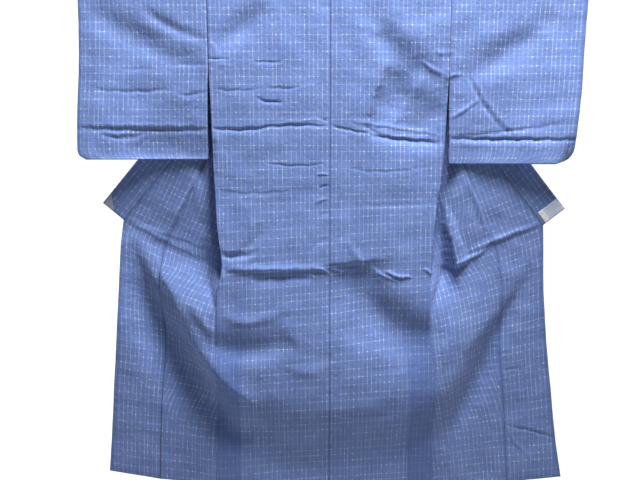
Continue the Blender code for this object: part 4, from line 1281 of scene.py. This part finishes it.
def front_rows(side):
    """Rows of the front panel, from the rod down to its hem, with the distance along each row as the
    flat cloth's width."""
    near_rod = np.linspace(0.006, 0.085, TOP_ROWS)
    down = np.concatenate([near_rod, np.linspace(0.09, FRONT_LENGTH, FRONT_ROWS)])
    points = front_grid(side, down)
    run = run_across(points)
    along_front = -math.pi * HANG_RADIUS - down[:, None] + 0 * run
    flat = np.stack([MIRROR[side] * (side_edge(side, 0.0) - run), along_front], -1)
    sewn = np.minimum(run[:, -1:] - run, run)
    sewn = np.minimum(sewn, FRONT_LENGTH - down[:, None] + HEM_SHIFT)
    # A band beside the overlap panel's seam is darker: painted shade of the seam's groove, with the
    # allowance behind it
    seam_groove_shade = 1 - ease((run[:, -1:] - run - 0.004) / 0.003)
    behind = ALLOWANCE_AND_SHADE_SHARE * seam_groove_shade * ease((down[:, None] - 0.26) / 0.05)
    return points, flat, sewn, behind


print("rows over the rod and down the front:", TURN_ROWS + TOP_ROWS + FRONT_ROWS)

# %% [markdown]
# ## The two body lengths
# Both halves come from the same function and differ only in their tables. Each takes the place of
# its solid.

# %% Body lengths
for side in ("left", "right"):
    across = denser_ends(BODY_COLUMNS, 0.45)[None]
    parts = (back_rows(side, across), rows_over_rod(side, across), front_rows(side))
    points, flat, sewn, behind = [np.concatenate(values) for values in zip(*parts)]
    cloth_piece("body_" + side + "_cloth", points, flat, sewn, behind, indigo_kasuri)
    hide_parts("body_" + side)

# %% [markdown]
# ## The overlap panels
# A narrow panel, the okumi, is sewn to each front so that the fronts can cross over each other when
# worn. It starts in a point under the collar and widens to a hand's breadth. It is the same surface
# as the opened front, carried on past the seam.

# %% Overlap panels
OKUMI_COLUMNS = 34
OKUMI_ROWS = 300
UNDER_SEAM = 0.003
HEM_WIDTH = 0.012
for side in ("left", "right"):
    down = np.linspace(OKUMI_TOP + 0.01, FRONT_LENGTH, OKUMI_ROWS)
    _, seam, edge = front_lines(side, down)
    width = np.linalg.norm(edge - seam, axis=1)[:, None]
    # Its edges reach under the front's edge and into the collar, so no light shows through the seams
    way = (edge - seam) / width
    start = seam - way * UNDER_SEAM
    end = edge + way * UNDER_SEAM * (1 - ease((down[:, None] - COLLAR_END + 0.004) / 0.004))
    q = denser_ends(OKUMI_COLUMNS, 0.3)[None, :, None]
    beyond = 1 + q[..., 0] * (EDGE_SHARE - 1) + 0 * width
    points = opened_front(side, start[:, None] + (end - start)[:, None] * q, down, beyond)
    run = run_across(points)
    # The edge under the seam steps back by one cloth
    points[..., 1] += (CLOTH + 0.0003) * (1 - ease((run - 0.5 * UNDER_SEAM) / UNDER_SEAM))
    flat = np.stack([MIRROR[side] * (0.4 + run), 0.31 - down[:, None] + 0 * run], -1)
    sewn = np.abs(run - UNDER_SEAM)
    # Hems and the seam's allowance are double and darker. Along the seam the darkening is partly
    # painted shade of its groove
    hem = np.maximum(1 - (run[:, -1:] - run) / HEM_WIDTH, 1 - (FRONT_LENGTH - down[:, None]) / HEM_WIDTH)
    behind = ease(hem / 0.2) + ALLOWANCE_AND_SHADE_SHARE * (1 - ease((run - UNDER_SEAM - 0.001) / 0.003))
    okumi = cloth_piece("okumi_" + side + "_cloth", points, flat, sewn, behind, indigo_kasuri)
    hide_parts("okumi_" + side)

# %% [markdown]
# ## The sleeves
# A sleeve is a straight length folded over the shoulder and sewn into a bag. The hand's opening
# stays open for 23 cm, and so does the inner edge below the short seam that joins it to the body.
# Its front and rear layers close towards the sewn edges, and its lower outer corner is rounded.

# %% Sleeve layers
SLEEVE_COLUMNS_ACROSS = 84
SLEEVE_ROWS = 118
# The layers close over this height below the cuff, and over this height above the foot
CUFF_CLOSES = 0.12
FOOT_CLOSES = 0.05
# At the foot the layers come together by this share of their distance
FOOT_SHUT = 0.85


def sleeve_layers(side):
    """Places of the front layer, half of the distance to the rear layer, and the flat cloth's width.
    The distance is that of the rod's two sides. It shrinks towards the sewn outer edge below the
    cuff's opening, and towards the foot."""
    table, mirror, bottom = SLEEVES[side], MIRROR[side], SLEEVES[side][-1][0]
    across = denser_ends(SLEEVE_COLUMNS_ACROSS, 0.45)[None]
    # Rows lie closer together at the bottom, where the layers close and the corner is rounded
    z = (bottom + (-0.012 - bottom) * np.linspace(0, 1, SLEEVE_ROWS) ** 1.25)[:, None]
    inner = along(table, SLEEVE_COLUMNS, "z", "inner", z)
    outer = along(table, SLEEVE_COLUMNS, "z", "outer", z)
    x = inner - 0.5 * SEAM_GAP + (outer - inner) * across
    front = -forward(mirror * x, z) + 0.002 * ease((-z - SLEEVE_SEAMS[side]) / 0.05)
    rear_small = fold_heights(mirror * x, z + 0 * x, REAR_FOLDS) - unevenness(mirror * x, -z, UNREST)
    back = rear(z) + rear_small * ease(-z / 0.1)
    half = (back - front) / 2
    shut = ease((-z - CUFF_OPENING) / CUFF_CLOSES) * (1 - ease((outer - x) / SLEEVE_CLOSES))
    shut = np.maximum(shut, FOOT_SHUT * (1 - ease((z - bottom) / FOOT_CLOSES)))
    # The rear layer comes forward to meet the front one, which stays flat
    half = np.maximum(half * (1 - shut), CLOTH / 2 + 0.0003)
    return x, z, front, half, (outer - inner).max() * across


layers = {side: sleeve_layers(side) for side in ("left", "right")}
for side, (_, _, _, half, _) in layers.items():
    print("the", side, "sleeve's layers are up to", round(2000 * float(half.max()), 1), "mm apart")

# %% [markdown]
# ## The sleeve as a tube
# The rows go up the front layer from the foot, round the rod and down the rear layer to the foot
# again, and the last row is joined to the first. On the flat cloth the sleeve is one straight
# length, so its lines keep to its own edges.

# %% Sleeves
CUFF_HEM = 0.010
for side in ("left", "right"):
    mirror, bottom = MIRROR[side], SLEEVES[side][-1][0]
    x, z, front, half, wide = layers[side]
    foot = np.stack([mirror * x[:1], (front + half)[:1], z[:1] + 0 * x[:1]], -1)
    turn = np.linspace(0, math.pi, TURN_ROWS)[:, None]
    top = np.stack([mirror * x[-1:] + 0 * turn, -HANG_RADIUS * np.cos(turn) + 0 * x[-1:],
                    HANG_RADIUS * np.sin(turn) + 0 * x[-1:]], -1)
    front_layer = np.stack([mirror * x, front, z + 0 * x], -1)
    rear_layer = np.stack([mirror * x, front + 2 * half, z + 0 * x], -1)[::-1]
    points = np.concatenate([foot, front_layer[1:], top, rear_layer[:-1], foot])
    over_rod = HANG_RADIUS * turn[:, 0]
    length = np.concatenate([z[:, 0], over_rod, HANG_RADIUS * math.pi - z[::-1, 0]])[:, None]
    flat = np.stack([mirror * (0.34 + wide) + 0 * length, -length + 0 * wide + 0.007], -1)
    fall = np.concatenate([z[:, 0], 0 * turn[:, 0], z[::-1, 0]])[:, None]
    width = wide.max()
    to_cuff = np.where(fall < -CUFF_OPENING, width - wide, width - wide + 0.001)
    sewn = np.minimum(wide + 0 * fall, to_cuff)
    sewn = np.minimum(sewn, fall - bottom + 0.0015)
    behind = ease((CUFF_HEM - (width - wide)) / 0.003) + 0 * fall
    name = "sleeve_" + side + "_cloth"
    sleeve = cloth_piece(name, points, flat, sewn, behind, indigo_kasuri, closed=True)
    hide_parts("sleeve_" + side)

# %% [markdown]
# ## The collar
# One long strip is folded in half along its length and sewn round the neck and down both fronts. It
# stands up at the neck and lies flat where the fronts are folded open. A path along its seam and a
# direction across it give every station.

# %% Collar stations
NECK_STATIONS = 40


def collar_stations(side):
    """Half of the collar, from its tip to the centre back: its seam edge and its folded edge. The
    direction across turns from straight up at the neck to outwards along the front."""
    mirror = MIRROR[side]
    down = np.concatenate([np.linspace(COLLAR_END, 0.1, 170), np.linspace(0.095, 0.01, 22)])
    _, _, edge = front_lines(side, down)
    _, _, above = front_lines(side, down - 0.02)
    _, _, below = front_lines(side, np.minimum(down + 0.02, COLLAR_END))
    way = (below - above) / np.linalg.norm(below - above, axis=1)[:, None]
    out = np.stack([-way[:, 1], way[:, 0]], -1)
    start = edge + out * 0.0004
    width = (COLLAR_AT_NECK + (COLLAR_AT_END - COLLAR_AT_NECK) * down / COLLAR_END)[:, None]
    seam_edge = opened_front(side, start[:, None], down, np.full((len(down), 1), EDGE_SHARE))[:, 0]
    lying = ease((down - 0.03) / FLAP_TURN)[:, None]
    upwards = out[:, 1:] * lying + 0.35 * (1 - lying)
    direction = np.concatenate([mirror * out[:, :1] * lying, 1 - lying, upwards], 1)
    direction /= np.linalg.norm(direction, axis=1)[:, None]
    lean = np.stack([0 * down, 0.02 * ease((down - 0.5) / 0.2), 0 * down], -1)
    free_edge = seam_edge + (direction + lean) * width
    neck = np.array(NECK)
    spot = np.linspace(0, len(neck) - 1, NECK_STATIONS)
    each = range(len(NECK_COLUMNS))
    finer = np.stack([np.interp(spot, np.arange(len(neck)), neck[:, k]) for k in each], -1)
    towards = finer[:, 3:] / np.linalg.norm(finer[:, 3:], axis=1)[:, None] * np.array([mirror, 1, 1])
    neck_seam = finer[:, :3] * np.array([mirror, 1, 1])
    seam_edge = np.concatenate([seam_edge, neck_seam])
    free_edge = np.concatenate([free_edge, neck_seam + towards * COLLAR_AT_NECK])
    return seam_edge, free_edge


left_seam, left_free = collar_stations("left")
right_seam, right_free = collar_stations("right")
print("collar stations:", len(left_seam) + len(right_seam) - 1)

# %% [markdown]
# ## The folded collar
# The strip goes out in one layer, turns round its fold as a half circle and comes back in a second
# layer. The two layers part a little at the seam, where the fronts' edges are taken in between
# them.

# %% Collar
seam_path = np.concatenate([left_seam, right_seam[-2::-1]])
free_path = np.concatenate([left_free, right_free[-2::-1]])
middle_steps = np.linalg.norm(np.diff((seam_path + free_path) / 2, axis=0), axis=1)
run = np.concatenate([[0], np.cumsum(middle_steps)])
across = free_path - seam_path
step = np.gradient(seam_path, axis=0)
normal = np.cross(step, across)
normal /= np.linalg.norm(normal, axis=1)[:, None]
# Cross section: out along one layer, round the fold as a half circle, and back along the other
out_share = denser_ends(14, 0.5)
bend = np.linspace(-math.pi / 2, math.pi / 2, 7)[1:-1]
share = np.concatenate([out_share[:-1], 0 * bend + 1, out_share[::-1][1:]])
lift = np.concatenate([-1 + 0 * out_share[:-1], np.sin(bend), 1 + 0 * out_share[1:]])
bulge = np.concatenate([0 * out_share[:-1], np.cos(bend), 0 * out_share[1:]])
half_gap = COLLAR_GAP / 2 * (1 + 0.8 * np.exp(-share / 0.06))
width = np.linalg.norm(across, axis=1)[:, None]
reach = share[None] * (width - COLLAR_GAP / 2) + bulge[None] * COLLAR_GAP / 2
points = seam_path[:, None] + across[:, None] / width[..., None] * reach[..., None]
points = points + normal[:, None] * (lift * half_gap)[None, :, None]
flat_across = np.concatenate([[0], np.cumsum(np.hypot(np.diff(share) * 0.063, np.diff(lift) * 0.0006))])
flat = np.stack([0.9 + flat_across[None] + 0 * run[:, None], run[:, None] + 0 * flat_across[None]], -1)
# The collar's edge stands free over its seam and throws the seam's line by itself, so none is painted
far_from_seams = np.ones(points.shape[:2])
collar = cloth_piece("collar_cloth", points, flat, far_from_seams, 0 * far_from_seams, indigo_kasuri)
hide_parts("collar")

# %% [markdown]
# ## The end cloths
# The maker's band of plain pale cotton shows at both collar ends: a triangle on the left tip and a
# piece as wide as the collar on the right one. Plain undyed cotton greys with age, and it is thin
# enough for the blue behind it to show through. The left one lies in shade, and its darker colours
# are that shade, painted.

# %% Plain cotton
def plain_cotton(name, light, dark, white):
    """Undyed plain weave that has greyed: matte, with yarns about 1 mm thick and 3 mm long in two
    near tones. The real yarns are finer, but would not show."""
    material, tree, shader = new_material(name)
    uv = add_node(tree, "UVMap", {"uv_map": "cloth"}).outputs[0]
    yarn = add_node(tree, "Mapping", None, {"Vector": uv, "Scale": (900, 350, 1)}).outputs[0]
    weave = add_node(tree, "TexNoise", {"noise_dimensions": "2D"}, {
        "Vector": yarn, "Scale": 1.0, "Detail": 2.0, "Roughness": 0.6}).outputs[0]
    tone = add_node(tree, "MapRange", None, {
        "Value": weave, "From Min": 0.3, "From Max": 0.7}).outputs[0]
    colour = add_node(tree, "Mix", {"data_type": "RGBA"}, {
        "Factor": tone, 6: linear(dark), 7: linear(light)}).outputs[2]
    # Folded over itself at the seam it is denser, and so whiter
    folded = add_node(tree, "Attribute", {"attribute_name": "behind"}).outputs["Fac"]
    dense = add_node(tree, "Mix", {"data_type": "RGBA"}, {
        "Factor": folded, 6: colour, 7: linear(white)}).outputs[2]
    tree.links.new(dense, shader.inputs["Base Color"])
    bump = add_node(tree, "Bump", None, {"Height": weave, "Strength": 0.4, "Distance": 0.0005})
    tree.links.new(bump.outputs[0], shader.inputs["Normal"])
    shader.inputs["Roughness"].default_value = 0.9
    shader.inputs["Specular IOR Level"].default_value = 0.2
    return material


pale_cotton = {
    "right": plain_cotton("greyed_plain_cotton", "#E8F0FF", "#C2CFEE", "#FFFFFF"),
    # The left one's darker colours are painted shade
    "left": plain_cotton("plain_cotton_painted_shade", "#C6CEDD", "#A6B1CB", "#FFFFFF"),
}
print("made", ", ".join(sorted(kind.name for kind in pale_cotton.values())))

# %% [markdown]
# ## The two end cloths
# Each is the collar's own surface moved out of its face by a little more than one cloth. The left
# one narrows to a point. The right one is folded over itself along its seam side, where it is
# whiter.

# %% End cloths
END_LIFT = COLLAR_GAP / 2 + CLOTH + 0.0004
END_WALL = 0.0006
# Length from the tip, the part of the collar's width that is covered, and whether it narrows to a point
END_CLOTHS = {
    "left": (0.034, 0.45, 0.97, True),
    "right": (0.036, 0.1, 0.96, False),
}
END_COLUMNS = 22
# The right one is double over this share of the collar's width
DOUBLE_SHARE = 0.22
for side, (length, low, high, pointed) in END_CLOTHS.items():
    seam, free = collar_stations(side)
    along_path = np.concatenate([[0], np.cumsum(np.linalg.norm(np.diff(seam, axis=0), axis=1))])
    rows = int(np.searchsorted(along_path, length)) + 1
    t = (along_path[:rows] / length)[:, None]
    q = np.linspace(low, high, END_COLUMNS)[None]
    if pointed:
        q = high - (high - q) * (1 - 0.92 * np.clip(t, 0, 1))
    points = seam[:rows, None] + (free - seam)[:rows, None] * q[..., None]
    normal = np.cross(seam[1] - seam[0], free[0] - seam[0])
    normal *= -np.sign(normal[1]) / np.linalg.norm(normal)
    points = points + normal * END_LIFT
    flat = np.stack([q * 0.07 + 0 * t, t * length + 0 * q], -1)
    dense = 0.8 * (1 - ease((q - low - DOUBLE_SHARE) / 0.03)) * (side == "right") + 0 * t
    name = "collar_end_" + side + "_cloth"
    far = np.ones(points.shape[:2])
    end_cloth = cloth_piece(name, points, flat, far, dense, pale_cotton[side], thickness=END_WALL)
    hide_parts("collar_end_" + side)

# %% [markdown]
# ## The rod
# A straight bamboo pole is the usual thing to air a kimono on. Its solid keeps its shape and gets
# the look of seasoned bamboo: long fibres, and a darker ring at each node of the stalk.

# %% Bamboo
NODE_SPACING = 0.19


def seasoned_bamboo(name):
    """Bamboo skin, which is hard and faintly glossy: streaks 2 mm wide and 17 cm long along the pole,
    and a narrow dark ring every NODE_SPACING, where the distance along the pole is near a whole
    number of them."""
    material, tree, shader = new_material(name)
    place = add_node(tree, "TexCoord").outputs["Object"]
    fibres = add_node(tree, "Mapping", None, {"Vector": place, "Scale": (6, 420, 420)}).outputs[0]
    streak = add_node(tree, "TexNoise", None, {
        "Vector": fibres, "Scale": 1.0, "Detail": 3.0, "Roughness": 0.6}).outputs[0]
    tone = add_node(tree, "MapRange", None, {
        "Value": streak, "From Min": 0.3, "From Max": 0.7}).outputs[0]
    skin = add_node(tree, "Mix", {"data_type": "RGBA"}, {
        "Factor": tone, 6: linear("#A98A55"), 7: linear("#D3B87F")}).outputs[2]
    x = add_node(tree, "SeparateXYZ", None, {0: place}).outputs[0]
    scaled = add_node(tree, "Math", {"operation": "MULTIPLY"}, {0: x, 1: 1 / NODE_SPACING}).outputs[0]
    part = add_node(tree, "Math", {"operation": "PINGPONG"}, {0: scaled, 1: 0.5}).outputs[0]
    ring = add_node(tree, "MapRange", None, {
        "Value": part, "From Min": 0.006, "From Max": 0.018, "To Min": 0.7, "To Max": 0.0}).outputs[0]
    ringed = add_node(tree, "Mix", {"data_type": "RGBA"}, {
        "Factor": ring, 6: skin, 7: linear("#6B5130")}).outputs[2]
    tree.links.new(ringed, shader.inputs["Base Color"])
    bump = add_node(tree, "Bump", None, {"Height": streak, "Strength": 0.2, "Distance": 0.0004})
    tree.links.new(bump.outputs[0], shader.inputs["Normal"])
    shader.inputs["Roughness"].default_value = 0.38
    return material


rod_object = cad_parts["rod"]
for slot in rod_object.material_slots:
    slot.material = seasoned_bamboo("seasoned_bamboo")
print("the rod is", rod_object.material_slots[0].material.name)

# %% [markdown]
# ## The garment's box
# The box round all that is shown, the backdrops left out, is printed.

# %% The garment's box
low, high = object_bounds()
print("visual box:", [round(v, 4) for v in (*low, *high)])
